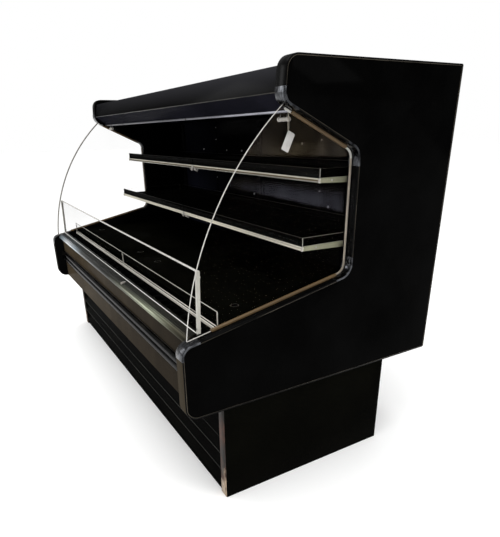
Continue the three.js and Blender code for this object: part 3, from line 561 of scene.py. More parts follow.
def piece(name, parts, body, bevel=0.0, smoothAngle=35):
    # parts are (shape, finish name) pairs; every shape keeps its own finish
    mesh = bpy.data.meshes.new(name)
    points, faces, owners, used = [], [], [], []
    for (shapePoints, shapeFaces), finishName in parts:
        if finishName not in used:
            used.append(finishName)
        start = len(points)
        points += [tuple(p) for p in shapePoints]
        faces += [tuple(start + i for i in f) for f in shapeFaces]
        owners += [used.index(finishName)] * len(shapeFaces)
    mesh.from_pydata(points, [], faces)
    for finishName in used:
        mesh.materials.append(finishes[finishName].material)
    mesh.polygons.foreach_set("material_index", owners)
    work = bmesh.new()
    work.from_mesh(mesh)
    bmesh.ops.recalc_face_normals(work, faces=work.faces)
    limit = math.radians(smoothAngle)
    for face in work.faces:
        face.smooth = True
    for edge in work.edges:
        edge.smooth = edge.calc_face_angle(0.0) < limit
    work.to_mesh(mesh)
    work.free()
    made = bpy.data.objects.new(name, mesh)
    scene.collection.objects.link(made)
    soften(made, bevel)
    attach(made, body)
    return made


def soften(made, width, segments=2):
    if width <= 0:
        return
    edge = made.modifiers.new("softEdge", "BEVEL")
    edge.width = width
    edge.segments = segments
    edge.limit_method = "ANGLE"
    edge.angle_limit = math.radians(35)
    edge.harden_normals = True
    edge.use_clamp_overlap = True


def dress(nodeName, finishName, bevel=0.6 * mm, facing=None):
    # facing: list of (test on the face normal and centre, finish name) for faces that differ
    node = nodes[nodeName]
    mesh = node.data
    mesh.materials.clear()
    mesh.materials.append(finishes[finishName].material)
    mesh.polygons.foreach_set("use_smooth", [True] * len(mesh.polygons))
    for polygon in mesh.polygons:
        polygon.material_index = 0
    for test, other in facing or []:
        mesh.materials.append(finishes[other].material)
        for polygon in mesh.polygons:
            if test(polygon.normal, polygon.center):
                polygon.material_index = len(mesh.materials) - 1
    weld = node.modifiers.new("weld", "WELD")
    weld.merge_threshold = 0.00002
    if bevel > 0:
        soften(node, bevel)
    else:
        node.modifiers.new("edges", "EDGE_SPLIT").split_angle = math.radians(35)
    return node


def screwHead(at, axis, radius):  # a low domed head
    dome = [(0, 1), (0.3, 0.98), (0.55, 0.7), (0.62, 0.2)]
    return turned([(along * radius, out * radius) for along, out in dome], at, axis, 14)


def smoothRun(points, steps=6):  # a smooth line through a few points
    points = [Vector(p) for p in points]
    run = []
    padded = [points[0]] + points + [points[-1]]
    for a, b, c, d in zip(padded, padded[1:], padded[2:], padded[3:]):
        for s in range(steps):
            t = s / steps
            square, cube = 2 * a - 5 * b + 4 * c - d, 3 * b - a - 3 * c + d
            run.append(0.5 * (2 * b + (c - a) * t + square * t ** 2 + cube * t ** 3))
    return run + [points[-1]]


def gridPlate(xs, zs, isOpen, y0, y1):  # a plate across X and Z with holes where isOpen(i, j)
    points, faces, index = [], [], {}

    def corner(i, j, back):
        key = (i, j, back)
        if key not in index:
            index[key] = len(points)
            points.append((xs[i], y1 if back else y0, zs[j]))
        return index[key]

    def solid(i, j):
        return 0 <= i < len(xs) - 1 and 0 <= j < len(zs) - 1 and not isOpen(i, j)

    for i in range(len(xs) - 1):
        for j in range(len(zs) - 1):
            if not solid(i, j):
                continue
            ring = [(i, j), (i + 1, j), (i + 1, j + 1), (i, j + 1)]
            faces.append(tuple(corner(a, b, 0) for a, b in ring))
            faces.append(tuple(corner(a, b, 1) for a, b in reversed(ring)))
            beside = [(i, j - 1), (i + 1, j), (i, j + 1), (i - 1, j)]
            for k, (p, q) in enumerate(beside):
                if not solid(p, q):
                    a, b = ring[k], ring[(k + 1) % 4]
                    faces.append((corner(*a, 0), corner(*a, 1), corner(*b, 1), corner(*b, 0)))
    return points, faces


# C shaped ends
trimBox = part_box("endTrimRight")
endShape = {
    "canopyFront": -178 * mm, "canopyLean": 9 * mm, "mouthBack": 97 * mm,
    "lowTop": 579 * mm, "lowRise": 0.203, "highUnder": 1209.5 * mm, "highFall": 0.469,
    "arcSteps": 12, "cornerRadii": (6, 6, 40, 38, -38, -40, 37, 42),  # mm, inner corners negative
}


def endCorners():
    s = endShape
    back, front = trimBox[1].y, trimBox[0].y
    bottom, top = trimBox[0].z, trimBox[1].z
    innerHigh = s["highUnder"] - s["highFall"] * (s["mouthBack"] - s["canopyFront"])
    innerLow = s["lowTop"] + s["lowRise"] * (s["mouthBack"] - front)
    places = [
        (back, bottom), (back, top), (s["canopyFront"] + s["canopyLean"], top),
        (s["canopyFront"], s["highUnder"]), (s["mouthBack"], innerHigh),
        (s["mouthBack"], innerLow), (front, s["lowTop"]), (front, bottom)]
    return [(y, z, radius * mm) for (y, z), radius in zip(places, s["cornerRadii"])]


def endArcs(inset=0.0):  # the rounded corners of the end outline, in order
    corners = endCorners()
    lines = []
    for i, (y, z, radius) in enumerate(corners):
        following = corners[(i + 1) % len(corners)]
        along = Vector((following[0] - y, following[1] - z)).normalized()
        lines.append((Vector((y, z)) + Vector((-along.y, along.x)) * inset, along))
    arcs = []
    for i, (y, z, signed) in enumerate(corners):
        (startA, alongA), (startB, alongB) = lines[i - 1], lines[i]
        cross = alongA.x * alongB.y - alongA.y * alongB.x
        offset = startB - startA
        corner = startA + alongA * ((offset.x * alongB.y - offset.y * alongB.x) / cross)
        side = 1 if signed > 0 else -1
        radius = max(0.5 * mm, side * signed - side * inset)
        turn = math.acos(alongA.dot(alongB))
        first = corner - alongA * radius * math.tan(turn / 2)
        centre = first + Vector((-alongA.y, alongA.x)) * side * radius
        angle = math.atan2(first.y - centre.y, first.x - centre.x)
        steps = endShape["arcSteps"]
        swept = [angle + side * turn * s / steps for s in range(steps + 1)]
        spokes = [Vector((math.cos(a), math.sin(a))) for a in swept]
        arcs.append([tuple(centre + spoke * radius) for spoke in spokes])
    return arcs


def pastCorner(arcs, i, before, after):  # the run round corner i and a little to either side
    arc = [Vector(p) for p in arcs[i]]
    arriving = (arc[0] - Vector(arcs[i - 1][-1])).normalized()
    leaving = (Vector(arcs[(i + 1) % len(arcs)][0]) - arc[-1]).normalized()
    run = [arc[0] - arriving * before] + arc + [arc[-1] + leaving * after]
    return [tuple(p) for p in run]


endDetail = {
    "capThickness": 1.3 * mm, "beadRadius": 0.9 * mm,
    "strapHalf": 5.6 * mm, "strapHeight": 8.6 * mm, "upperStrapFront": -131 * mm,
    "lowerStrapFront": -402 * mm, "gasketHalf": 2.3 * mm, "gasketHeight": 5.2 * mm,
    "gasketFoot": 3.2 * mm, "arcCentre": (433.5 * mm, 502 * mm), "arcRadius": 918 * mm,
    "arcBead": 3.4 * mm, "arcSteps": 40, "skirt": 6 * mm, "beadInset": 5.2 * mm,
}


def onSlope(arcs, i, y):  # the point at y on the straight between corner i and the next one
    a, b = Vector(arcs[i][-1]), Vector(arcs[i + 1][0])
    return tuple(a + (b - a) * ((y - a.x) / (b.x - a.x)))


def shellSection(x0, x1, thick, skirt):  # a crowned cover with a skirt on its outer side
    inside, outside = x1 - 0.4 * mm, x1 + 0.9 * mm
    return [(x0, -0.4 * mm), (x0, thick * 0.6), (x0 + 2 * mm, thick), (x1 - 2 * mm, thick),
            (outside, thick * 0.3), (outside, -skirt), (inside, -skirt), (inside, -0.4 * mm)]


def ribSection(x, half, foot, height, crown=0.7, lean=0.4):  # a narrow rib, round on top
    side = foot + (height - foot) * crown
    return [(x - half, foot), (x - half, side), (x - half * lean, height),
            (x + half * lean, height), (x + half, side), (x + half, foot)]


def makeEnd(word, side):
    d = endDetail
    arcs = endArcs()
    inner, outer = trimBox[0].x, trimBox[1].x
    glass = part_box("endGlassRight")
    glassX = (glass[0].x + glass[1].x) / 2
    cover = shellSection(inner + 0.3 * mm, outer, d["capThickness"], d["skirt"])
    capRuns = {"CanopyFront": (3, 8 * mm, 30 * mm), "MouthTop": (4, 26 * mm, 22 * mm),
               "MouthLow": (5, 22 * mm, 26 * mm), "LowFront": (6, 30 * mm, 8 * mm)}
    for place, (corner, before, after) in capRuns.items():
        shape = band(pastCorner(arcs, corner, before, after), cover)
        piece(f"cornerCap{place}{word}", [(sided(shape, side), "cap")], "cabinet", 0.4 * mm)
    ring = [p for arc in endArcs(d["beadInset"]) for p in arc]
    roundSection = [(outer + d["beadRadius"] * math.cos(a), d["beadRadius"] * math.sin(a))
                    for a in [math.pi * s / 4 for s in range(8)]]
    piece(f"trimBead{word}", [(sided(band(ring, roundSection, True), side), "bead")], "cabinet")
    high, half = d["strapHeight"], d["strapHalf"]
    crown = ribSection(glassX, half, 0.4 * mm, high, 0.74, 0.6)
    upper = [onSlope(arcs, 3, d["upperStrapFront"]), onSlope(arcs, 3, arcs[4][0][0] - 4 * mm)]
    lower = [onSlope(arcs, 5, arcs[5][-1][0] - 4 * mm), onSlope(arcs, 5, d["lowerStrapFront"])]
    straps = [(sided(band(run, crown), side), "tanStrap") for run in (upper, lower)]
    strap = piece(f"glassStraps{word}", straps, "cabinet", 1.2 * mm)
    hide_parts(f"glassChannel{word}")
    makeGasket(word, side, arcs, glassX)
    dress(f"endPanel{word}", "endPaint", 0.5 * mm)
    # the low front faces of the end trim take the painted reflection finish
    lowFront = [(lambda n, c: n.y < -0.6 and c.z < 0.56, "trimFrontWithReflection")]
    dress(f"endTrim{word}", "trim", 0.5 * mm, lowFront)
    rim = [(lambda n, c: abs(n.x) < 0.5, "glassEdge" if side > 0 else "shadedEdge")]
    dress(f"endGlass{word}", "endClear" if side > 0 else "clear", 0.0, rim)
    if side < 0:
        makePaneEdge(word, -glassX)
    dress(f"baseEnd{word}", "basePaint", 0.8 * mm, [(lambda n, c: n.y < -0.9, "wornCream")])


def makeGasket(word, side, arcs, glassX):  # pale lip round the mouth on a dark web
    d = endDetail
    thin, foot = d["gasketHalf"], d["gasketFoot"]
    height = foot + d["gasketHeight"]
    lip = ribSection(glassX, thin, foot, height)
    web = [(glassX - thin, 0.2 * mm), (glassX - thin, foot),
           (glassX + thin, foot), (glassX + thin, 0.2 * mm)]
    upperBend = pastCorner(arcs, 4, 4 * mm, 0)[:-1]
    rest = pastCorner(arcs, 5, 0, 4 * mm)[1:]
    startY, endY = arcs[3][-1][0] + 2 * mm, d["upperStrapFront"] - 1 * mm
    nib = [onSlope(arcs, 3, startY), onSlope(arcs, 3, endY)]
    strips = [(upperBend, lip, "footWhite"), (upperBend[-1:] + rest, lip, "gasket"),
              (upperBend + rest, web, "trim"), (nib, lip, "footWhite"), (nib, web, "trim")]
    parts = [(sided(band(run, section), side), finishName) for run, section, finishName in strips]
    piece(f"glassGasket{word}", parts, "cabinet", 0.0)


def makePaneEdge(word, x):  # bead on the long arc of the far pane
    d = endDetail
    centre, radius = Vector(d["arcCentre"]), d["arcRadius"]
    rim = []
    for vertex in nodes[f"endGlass{word}"].data.vertices:
        reach = Vector((vertex.co.y, vertex.co.z)) - centre
        if abs(reach.length - radius) < 0.6 * mm:
            rim.append(math.atan2(reach.y, -reach.x))
    low, high = min(rim), max(rim)
    spread = radius - d["arcBead"] + 1.2 * mm
    edge = []
    for s in range(d["arcSteps"] + 1):
        a = low + (high - low) * s / d["arcSteps"]
        edge.append((x, centre.x - spread * math.cos(a), centre.y + spread * math.sin(a)))
    bead = [(tube(edge, d["arcBead"], 10), "shadedEdge")]
    piece(f"paneEdge{word}", bead, "cabinet", 0.0)


for word, side in (("Right", 1), ("Left", -1)):
    makeEnd(word, side)
print("stage: ends dressed")


# Canopy
canopy = {
    "ridgeRadius": 1.5 * mm, "ridge": (-172.3 * mm, 1230.6 * mm), "jointPlaces": (-0.60, 0.21),
    "jointWidth": 9 * mm, "vanePitch": 9 * mm, "vaneThickness": 0.8 * mm, "vaneCount": 84,
    "sleeveRadius": 5 * mm, "lampDrop": 3 * mm, "gripLength": 54 * mm,
    "holderRadius": 6.6 * mm, "neckRadius": 5.2 * mm, "hangerPlaces": (12 * mm, 46 * mm),
    "hangerTop": 1190 * mm, "hangerRadius": 1.3 * mm,
}


def makeCanopy():
    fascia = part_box("canopyFascia")
    under = [(lambda n, c: n.z < -0.5 and n.y < -0.3, "fasciaUnder")]
    dress("canopyFascia", "fascia", 0.8 * mm, under)
    half = fascia[1].x
    ridge = rod(-half, half, *canopy["ridge"], canopy["ridgeRadius"])
    piece("canopyRidgeBead", [(ridge, "darkSteel")], "cabinet")
    dress("canopyStrip", "brightStrip", 0.8 * mm)
    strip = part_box("canopyStrip")
    clips = []
    for place in canopy["jointPlaces"]:
        low = (place, strip[0].y - 0.8 * mm, strip[0].z - 0.8 * mm)
        high = (place + canopy["jointWidth"], strip[0].y + 4 * mm, strip[1].z)
        clips.append((block(low, high), "darkSteel"))
    piece("canopyStripJoints", clips, "cabinet", 0.4 * mm)
    dress("airDiffuser", "blackPlastic", 0.4 * mm)
    makeVanes(half)


def makeVanes(half):  # an egg crate in the air diffuser
    low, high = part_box("airDiffuser")
    thick, pitch, count = canopy["vaneThickness"], canopy["vanePitch"], canopy["vaneCount"]
    vanes = []
    for i in range(1, int((high.y - low.y - 12 * mm) / pitch) + 1):
        at = low.y + 5 * mm + i * pitch
        start = (-half + 8 * mm, at, low.z + 4 * mm)
        vanes.append((block(start, (half - 8 * mm, at + thick, high.z - 3 * mm)), "blackPlastic"))
    for i in range(count):
        at = -half + 9 * mm + i * (2 * half - 18 * mm) / count
        start = (at, low.y + 5.5 * mm, low.z + 5 * mm)
        end = (at + thick, high.y - 5.5 * mm, high.z - 4 * mm)
        vanes.append((block(start, end), "blackPlastic"))
    piece("diffuserVanes", vanes, "cabinet")


def makeLamp():  # clear sleeve between two ribbed holders
    low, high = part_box("canopyLamp")
    y, z = (low.y + high.y) / 2, (low.z + high.z) / 2 - canopy["lampDrop"]
    length, grip = high.x, canopy["gripLength"]
    sleeve = rod(grip - length, length - grip, y, z, canopy["sleeveRadius"], 20)
    parts = [(sleeve, "acrylic")]
    big, small = canopy["holderRadius"], canopy["neckRadius"]
    collar = small + 1.2 * mm
    steps = [(0, big * 0.8), (2, big), (8, big), (9, small), (26, small), (27, collar),
             (30, collar), (31, small), (44, small), (45, big), (52, big), (54, big * 0.8)]
    steps = [(along * mm, radius) for along, radius in steps]
    for side in (1, -1):
        parts.append((turned(steps, (side * length, y, z), (-side, 0, 0), 24), "nylon"))
    lamp = piece("lampSleeveAndHolders", parts, "cabinet", 0.0)
    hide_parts("canopyLamp")
    hooks = []
    for x in [side * (length - place) for side in (1, -1) for place in canopy["hangerPlaces"]]:
        up = [(x, y, z + big * 0.9), (x, y + 3 * mm, z + 18 * mm), (x, y + 8 * mm, canopy["hangerTop"])]
        hooks.append((tube(smoothRun(up, 4), canopy["hangerRadius"], 8), "steel"))
    piece("lampHangers", hooks, "cabinet")


makeCanopy()
makeLamp()
dress("lightSwitch", "blackPlastic", 0.5 * mm)
print("stage: canopy dressed")


# Inside: liner, duct panel, uprights
inside = {
    "slotPitch": 25 * mm, "slotHeight": 13 * mm, "slotWidth": 4.5 * mm, "slotEdge": 5 * mm,
    "wall": 2 * mm, "panelFace": 366 * mm, "seams": (-0.46, 0.46), "seamHalf": 9 * mm,
    "seamEnds": (0.62, 1.19), "seamScrews": (0.66, 0.74, 0.9, 1.1, 1.16),
    "studs": ((-0.62, 1.046), (-0.34, 1.046), (-0.18, 1.046), (0.33, 1.085), (-0.06, 0.842),
              (0.52, 0.842)),
}


def makeInside():
    outside = [(lambda n, c: n.y > 0.9 and c.y > 0.48, "caseBack"),
               (lambda n, c: n.z > 0.9 and c.z > 1.2, "caseBack")]
    dress("insulatedBody", "linerPaint", 1.0 * mm, outside)
    dress("ductPanel", "backPaint", 0.6 * mm)
    face, half = inside["panelFace"], inside["seamHalf"]
    bottom, top = inside["seamEnds"]
    seams = []
    for x in inside["seams"]:
        strip = block((x - half, face - 1.0 * mm, bottom), (x + half, face - 0.2 * mm, top))
        seams.append((strip, "linerPaint"))
        for z in inside["seamScrews"]:
            seams.append((screwHead((x, face - 0.9 * mm, z), (0, -1, 0), 3.4 * mm), "steel"))
    piece("ductSeamStrips", seams, "cabinet", 0.3 * mm)
    studs = [screwHead((x, face - 0.2 * mm, z), (0, -1, 0), 5 * mm) for x, z in inside["studs"]]
    piece("ductStuds", [(stud, "steel") for stud in studs], "cabinet")
    for word in ("Right", "Middle", "Left"):
        makeUpright(word)


def makeUpright(word):  # channel with two rows of hook slots
    low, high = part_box(f"shelfStandard{word}")
    wide, edge, wall = inside["slotWidth"], inside["slotEdge"], inside["wall"]
    xs = [low.x, low.x + edge, low.x + edge + wide, high.x - edge - wide, high.x - edge, high.x]
    zs = [low.z]
    while zs[-1] + inside["slotPitch"] < high.z:
        start = zs[-1] + inside["slotPitch"] - inside["slotHeight"]
        zs += [start, start + inside["slotHeight"]]
    zs.append(high.z)
    face = gridPlate(xs, zs, lambda i, j: i in (1, 3) and j % 2 == 1, low.y, low.y + wall)
    walls = [block((x, low.y + wall, low.z), (x + wall, high.y, high.z)) for x in (low.x, high.x - wall)]
    parts = [(shape, "uprightPaint") for shape in [face] + walls]
    made = piece(f"slottedUpright{word}", parts, "cabinet", 0.3 * mm)
    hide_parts(f"shelfStandard{word}")


makeInside()
print("stage: inside dressed")


# Shelves
shelf = {
    "lipTop": 24.6 * mm, "beadRadius": 0.9 * mm, "screwRadius": 3 * mm, "endCap": 4 * mm,
    "leadRadius": 0.8 * mm, "plugSize": (11 * mm, 7 * mm, 9 * mm),
    # sections: mm out from the face, then mm above the deck or a share of the lens height
    "railSection": ((0.3, -2.6), (0.3, 24.4), (1.4, 24.4), (2.2, 23), (1.2, 21), (1.0, 11),
                    (1.2, 1.5), (2.2, -0.5), (1.76, -2.6)),
    "lensSection": ((-0.2, 0), (1.0, 0.2), (1.5, 0.5), (1.0, 0.8), (-0.2, 1)),
    "groove": {"upper": "lampGroove", "lower": "lampWhite"},
    "lowerLens": {"upper": "lampLens", "lower": "lampWhite"},
}


def makeShelf(level, word, side):
    body = f"{level}_shelf_{word.lower()}"
    name = f"{level}Shelf{word}"
    low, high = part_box(name)
    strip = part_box(f"{level}LampStrip{word}")
    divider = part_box(f"{level}Divider{word}")
    top = divider[0].z + 2 * mm  # deck surface
    front = low.y
    dress(name, "shelfPaint", 0.5 * mm)
    dress(f"{level}ShelfFrame{word}", "bracketPaint", 0.9 * mm)
    start, end = strip
    middle = (start.z + end.z) / 2
    inGroove = lambda n, c: abs(c.z - middle) < 3 * mm and c.y < start.y + 4 * mm
    dress(f"{level}LampStrip{word}", "lampWhite", 0.5 * mm, [(inGroove, shelf["groove"][level])])
    dress(f"{level}Divider{word}", "acrylic", 0.0, [(lambda n, c: abs(n.x) < 0.5, "acrylicEdge")])
    profile = [(front - proud * mm, top + rise * mm) for proud, rise in shelf["railSection"]]
    rail = [(prism(profile, low.x, high.x), "shelfPaint")]
    piece(f"{level}TicketRail{word}", rail, body, 0.3 * mm)
    topBead = rod(low.x, high.x, front + 0.9 * mm, top + shelf["lipTop"], shelf["beadRadius"], 8)
    backBead = rod(low.x, high.x, high.y - 1 * mm, high.z, shelf["beadRadius"], 8)
    piece(f"{level}ShelfEdgeBeads{word}", [(topBead, "darkSteel"), (backBead, "darkSteel")], body)
    lens = []
    third, cap = (end.z - start.z) / 3, shelf["endCap"]
    for zone, finishName in ((start.z, shelf["lowerLens"][level]), (end.z - third, "lampWhite")):
        curve = [(start.y - out * mm, zone + third * share) for out, share in shelf["lensSection"]]
        lens.append((prism(curve, start.x + cap, end.x - cap), finishName))
    for x in (start.x, end.x - cap):
        capLow = (x, start.y - 2 * mm, start.z - 0.6 * mm)
        capHigh = (x + cap, start.y + 3 * mm, end.z + 0.2 * mm)
        lens.append((block(capLow, capHigh), "nylon"))
    piece(f"{level}LampLens{word}", lens, body, 0.4 * mm)
    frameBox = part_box(f"{level}ShelfFrame{word}")
    outerX = frameBox[1].x if side > 0 else frameBox[0].x
    heads = []
    for share in (0.12, 0.9):
        y = frameBox[0].y + (frameBox[1].y - frameBox[0].y) * share
        heads.append((screwHead((outerX, y, frameBox[1].z - 8 * mm), (side, 0, 0), shelf["screwRadius"]), "steel"))
    piece(f"{level}ArmScrews{word}", heads, body)
    makeLampLeads(level, word, side, strip, body)


def makeLampLeads(level, word, side, strip, body):  # plug and formed leads under the middle joint
    near = 10 * mm
    x0 = side * near
    y0 = strip[0].y + 5 * mm
    z0 = strip[0].z
    wide, deep, tall = shelf["plugSize"]
    lowX, highX = sorted((x0, x0 + side * wide))
    plug = block((lowX, y0 - 3 * mm, z0 - tall), (highX, y0 - 3 * mm + deep, z0 - 0.6 * mm))
    latchLow = (lowX + 3 * mm, y0 - 4 * mm, z0 - tall + 2 * mm)
    shapes = [plug, block(latchLow, (highX - 3 * mm, y0 - 2.8 * mm, z0 - 4 * mm))]
    for k in range(2):
        start = (x0 + side * (3 + 4 * k) * mm, y0 + 1 * mm, z0 - tall + 1 * mm)
        dip = (x0 + side * (11 + 6 * k) * mm, y0 + (2 + 2 * k) * mm, z0 - tall - (2 + 2 * k) * mm)
        end = (x0 + side * (24 + 8 * k) * mm, y0 + 2 * mm, z0 - 0.4 * mm)
        below = (end[0], end[1], end[2] - 5 * mm)
        shapes.append(tube(smoothRun([start, dip, below, end], 6), shelf["leadRadius"], 8))
    parts = [(shape, "nylon") for shape in shapes]
    piece(f"{level}LampPlug{word}", parts, body, 0.5 * mm)


for level in ("upper", "lower"):
    for word, side in (("Right", 1), ("Left", -1)):
        makeShelf(level, word, side)
print("stage: shelves dressed")


# Deck, fence, grille
deck = {
    "fingerRadius": 13 * mm, "fingerBead": 1.4 * mm, "fingerInset": 0.11, "meshPitch": 12 * mm,
    "barHalf": 0.6 * mm, "fencePlane": -370 * mm, "fenceHalf": 2.6 * mm,
}


def makeDeck():
    for word, side in (("Right", 1), ("Left", -1)):
        dress(f"deckPan{word}", "deckPaint", 0.8 * mm)
        low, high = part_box(f"deckPan{word}")
        rings = []
        for x in (low.x + deck["fingerInset"], high.x - deck["fingerInset"]):
            centre = Vector((x, low.y + deck["fingerInset"], high.z + 0.2 * mm))
            turns = [2 * math.pi * s / 28 for s in range(28)]
            ring = [centre + Vector((math.cos(a), math.sin(a), 0)) * deck["fingerRadius"] for a in turns]
            rings.append((tube(ring, deck["fingerBead"], 8, True), "darkSteel"))
            floor = [(0, deck["fingerRadius"]), (0.3 * mm, deck["fingerRadius"] * 0.7), (0.1 * mm, 0.001)]
            rings.append((turned(floor, centre, (0, 0, 1), 28), "blackPlastic"))
        piece(f"fingerRings{word}", rings, f"deck_pan_{word.lower()}", 0.0)
        dress(f"innerFence{word}", "acrylic", 0.0, [(lambda n, c: abs(n.y) < 0.5, "acrylicEdge")])
    dress("fenceHolder", "blackPlastic", 0.5 * mm)
    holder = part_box("fenceHolder")
    caps = []
    start, end = holder
    plane, half, proud = deck["fencePlane"], deck["fenceHalf"], 0.6 * mm
    for y0, y1 in ((start.y - proud, plane - half), (plane + half, end.y + proud)):
        cap = block((start.x, y0, end.z - 8.5 * mm), (end.x, y1, end.z + 0.7 * mm))
        caps.append((cap, "holderCream"))
    piece("fenceHolderCaps", caps, "cabinet", 0.6 * mm)
    dress("returnGrille", "blackPlastic", 0.4 * mm)
    low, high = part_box("returnGrille")
    bars = []
    half = deck["barHalf"]
    count = int((high.x - low.x) / deck["meshPitch"])
    for i in range(1, count):
        x = low.x + i * (high.x - low.x) / count
        barLow = (x - half, low.y + 8 * mm, low.z + 0.4 * mm)
        bars.append((block(barLow, (x + half, high.y - 8 * mm, high.z - half)), "blackPlastic"))
    piece("returnGrilleBars", bars, "return_grille", 0.0)


makeDeck()
print("stage: deck dressed")


# Front: glass, posts, nose rail, panels, bumper
front = {
    "ribCount": 6, "ribRadius": 1.1 * mm, "markPlace": 0.28, "markWidth": 4 * mm,
    "bumperProud": 20 * mm, "edgeRadius": 1.6 * mm, "edgeFace": -461.5 * mm,
    "footHalf": 914 * mm, "foot": (-441.6 * mm, 600.2 * mm), "footRadius": 1.5 * mm,
    "crestRadius": 3 * mm, "crestInset": 11 * mm, "postLean": 7 * mm,
}


def makeFront():
    dress("frontGlass", "clear", 0.0, [(lambda n, c: abs(n.y) < 0.5, "glassEdge")])
    for word, side in (("Right", 1), ("Left", -1)):
        post = f"frontGlassPost{word}"
        dress(post, "postWhite", 0.9 * mm)
        low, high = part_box(post)
        x = (low.x + high.x) / 2
        fixings = []
        for z in (low.z + 14 * mm, high.z - 20 * mm):
            y = low.y + (z - low.z) / (high.z - low.z) * front["postLean"]
            for face, away in ((y - 0.2 * mm, -1), (y + 12.2 * mm, 1)):
                fixings.append((screwHead((x, face, z), (0, away, 0), 2.2 * mm), "steel"))
        inward = x - side * 2 * mm
        footLow = (inward - 6.5 * mm, low.y - 1 * mm, low.z - 0.9 * mm)
        foot = block(footLow, (inward + 6.5 * mm, low.y + 10 * mm, low.z + 4 * mm))
        fixings.append((foot, "postWhite"))
        piece(f"postFixings{word}", fixings, "front_glass", 0.5 * mm)
    dress("noseRail", "nose", 0.6 * mm, [(lambda n, c: c.z > 590.5 * mm, "noseRib")])
    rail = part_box("noseRail")
    ribs = []
    for i in range(front["ribCount"]):
        share = i / (front["ribCount"] - 1)
        y = -466 * mm + share * 22 * mm
        z = 589.6 * mm + 8.6 * mm * math.sin(share * math.pi / 2)
        ribs.append((rod(rail[0].x, rail[1].x, y, z, front["ribRadius"], 8), "noseRib"))
    piece("noseRailRibs", ribs, "cabinet", 0.0)
    at = front["markPlace"]
    mark = block((at, -470 * mm, 588.8 * mm), (at + front["markWidth"], -450 * mm, 598.5 * mm))
    piece("noseRailClip", [(mark, "nylon")], "cabinet", 0.8 * mm)
    dress("upperFrontPanel", "frontPaintWithReflection", 0.8 * mm)
    dress("lowerFrontPanel", "frontPaintWithReflection", 0.8 * mm)
    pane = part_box("frontGlass")
    foot = rod(-front["footHalf"], front["footHalf"], *front["foot"], front["footRadius"])
    piece("frontGlassFootBead", [(foot, "footWhite")], "front_glass", 0.0)
    radius, inset = front["crestRadius"], front["crestInset"]
    crest = rod(pane[0].x + inset, pane[1].x - inset, pane[1].y - radius, pane[1].z, radius, 12)
    piece("frontGlassTopEdge", [(crest, "glassEdge")], "front_glass", 0.0)
    makeBumper()


def makeBumper():  # two soft bulges with a seam between them, and edge strips; the lower strip carries painted highlights
    low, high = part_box("bumperRail")
    tall = high.z - low.z
    back = high.y - 4 * mm
    swell = front["bumperProud"] - 4 * mm
    profile = [(high.y, low.z), (high.y, high.z)]
    for bulge in (1, 0):
        base = low.z + bulge * tall / 2
        for s in range(11):
            angle = math.pi * (0.5 - s / 10)
            z = base + tall / 4 + math.sin(angle) * (tall / 4 - 0.4 * mm)
            out = swell * math.cos(angle) ** 0.55 if 0 < s < 10 else 0
            profile.append((back - out, z))
    shape = prism(profile, low.x, high.x)
    bumper = piece("bumperBulges", [(shape, "bumper")], "cabinet", 0.0, 50)
    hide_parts("bumperRail")
    strips = ((high.z + 0.5 * mm, 1.3 * mm, "seamSteel"),
              (low.z - 1.2 * mm, front["edgeRadius"], "bumperEdge"),
              ((low.z + high.z) / 2, 0.9 * mm, "seamSteel"))
    edges = []
    for z, radius, finishName in strips:
        edges.append((rod(low.x, high.x, front["edgeFace"], z, radius), finishName))
    piece("bumperEdgeStrips", edges, "cabinet")


makeFront()
print("stage: front dressed")


# Base and machinery
base = {
    "lipRadii": (1.6 * mm, 3.4 * mm, 3.4 * mm, 1.5 * mm, 1.5 * mm), "lipStart": 30 * mm,
    "lipPitch": 65 * mm, "screwRadius": 4 * mm, "seams": (-0.31, 0.31), "seamHalf": 12 * mm,
    "seamScrews": (0.42, 0.62, 0.82, 1.02, 1.22),
}


def makeBase():
    dress("kickGrille", "kickPaint", 0.6 * mm)
    low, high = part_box("kickGrille")
    lips = []
    for i, radius in enumerate(base["lipRadii"]):
        z = base["lipStart"] + i * base["lipPitch"]
        lip = rod(low.x, high.x, low.y + radius, z, radius, 12)
        # the three middle lips carry the painted highlight
        lips.append((lip, "kickLipHighlight" if 0 < i < 4 else "kickPaint"))
    piece("kickLouvreLips", lips, "kick_grille", 0.0)
    toe = block((low.x, low.y + 6 * mm, 0.6 * mm), (high.x, low.y + 10 * mm, low.z + 7 * mm))
    piece("kickToeStrip", [(toe, "kickPaint")], "kick_grille", 0.8 * mm)
    dress("rearGrille", "caseBack", 0.6 * mm)
    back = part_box("rearGrille")
    heads = []
    for x in (-0.86, -0.3, 0.3, 0.86):
        for z in (30 * mm, 320 * mm):
            heads.append((screwHead((x, back[1].y - 0.2 * mm, z), (0, 1, 0), base["screwRadius"]), "steel"))
    piece("rearGrilleScrews", heads, "rear_grille")
    dress("baseFrame", "framePaint", 0.8 * mm)
    dress("compressor", "compressorPaint", 0.8 * mm)
    for name in ("evaporatorFan", "condenserFan"):
        dress(name, "blackPlastic", 0.6 * mm)
    for name in ("evaporatorCoil", "condenserCoil"):
        dress(name, "fins", 0.8 * mm)
    dress("fanPlenum", "fins", 0.5 * mm)
    makePipes()
    makeCaseBack()


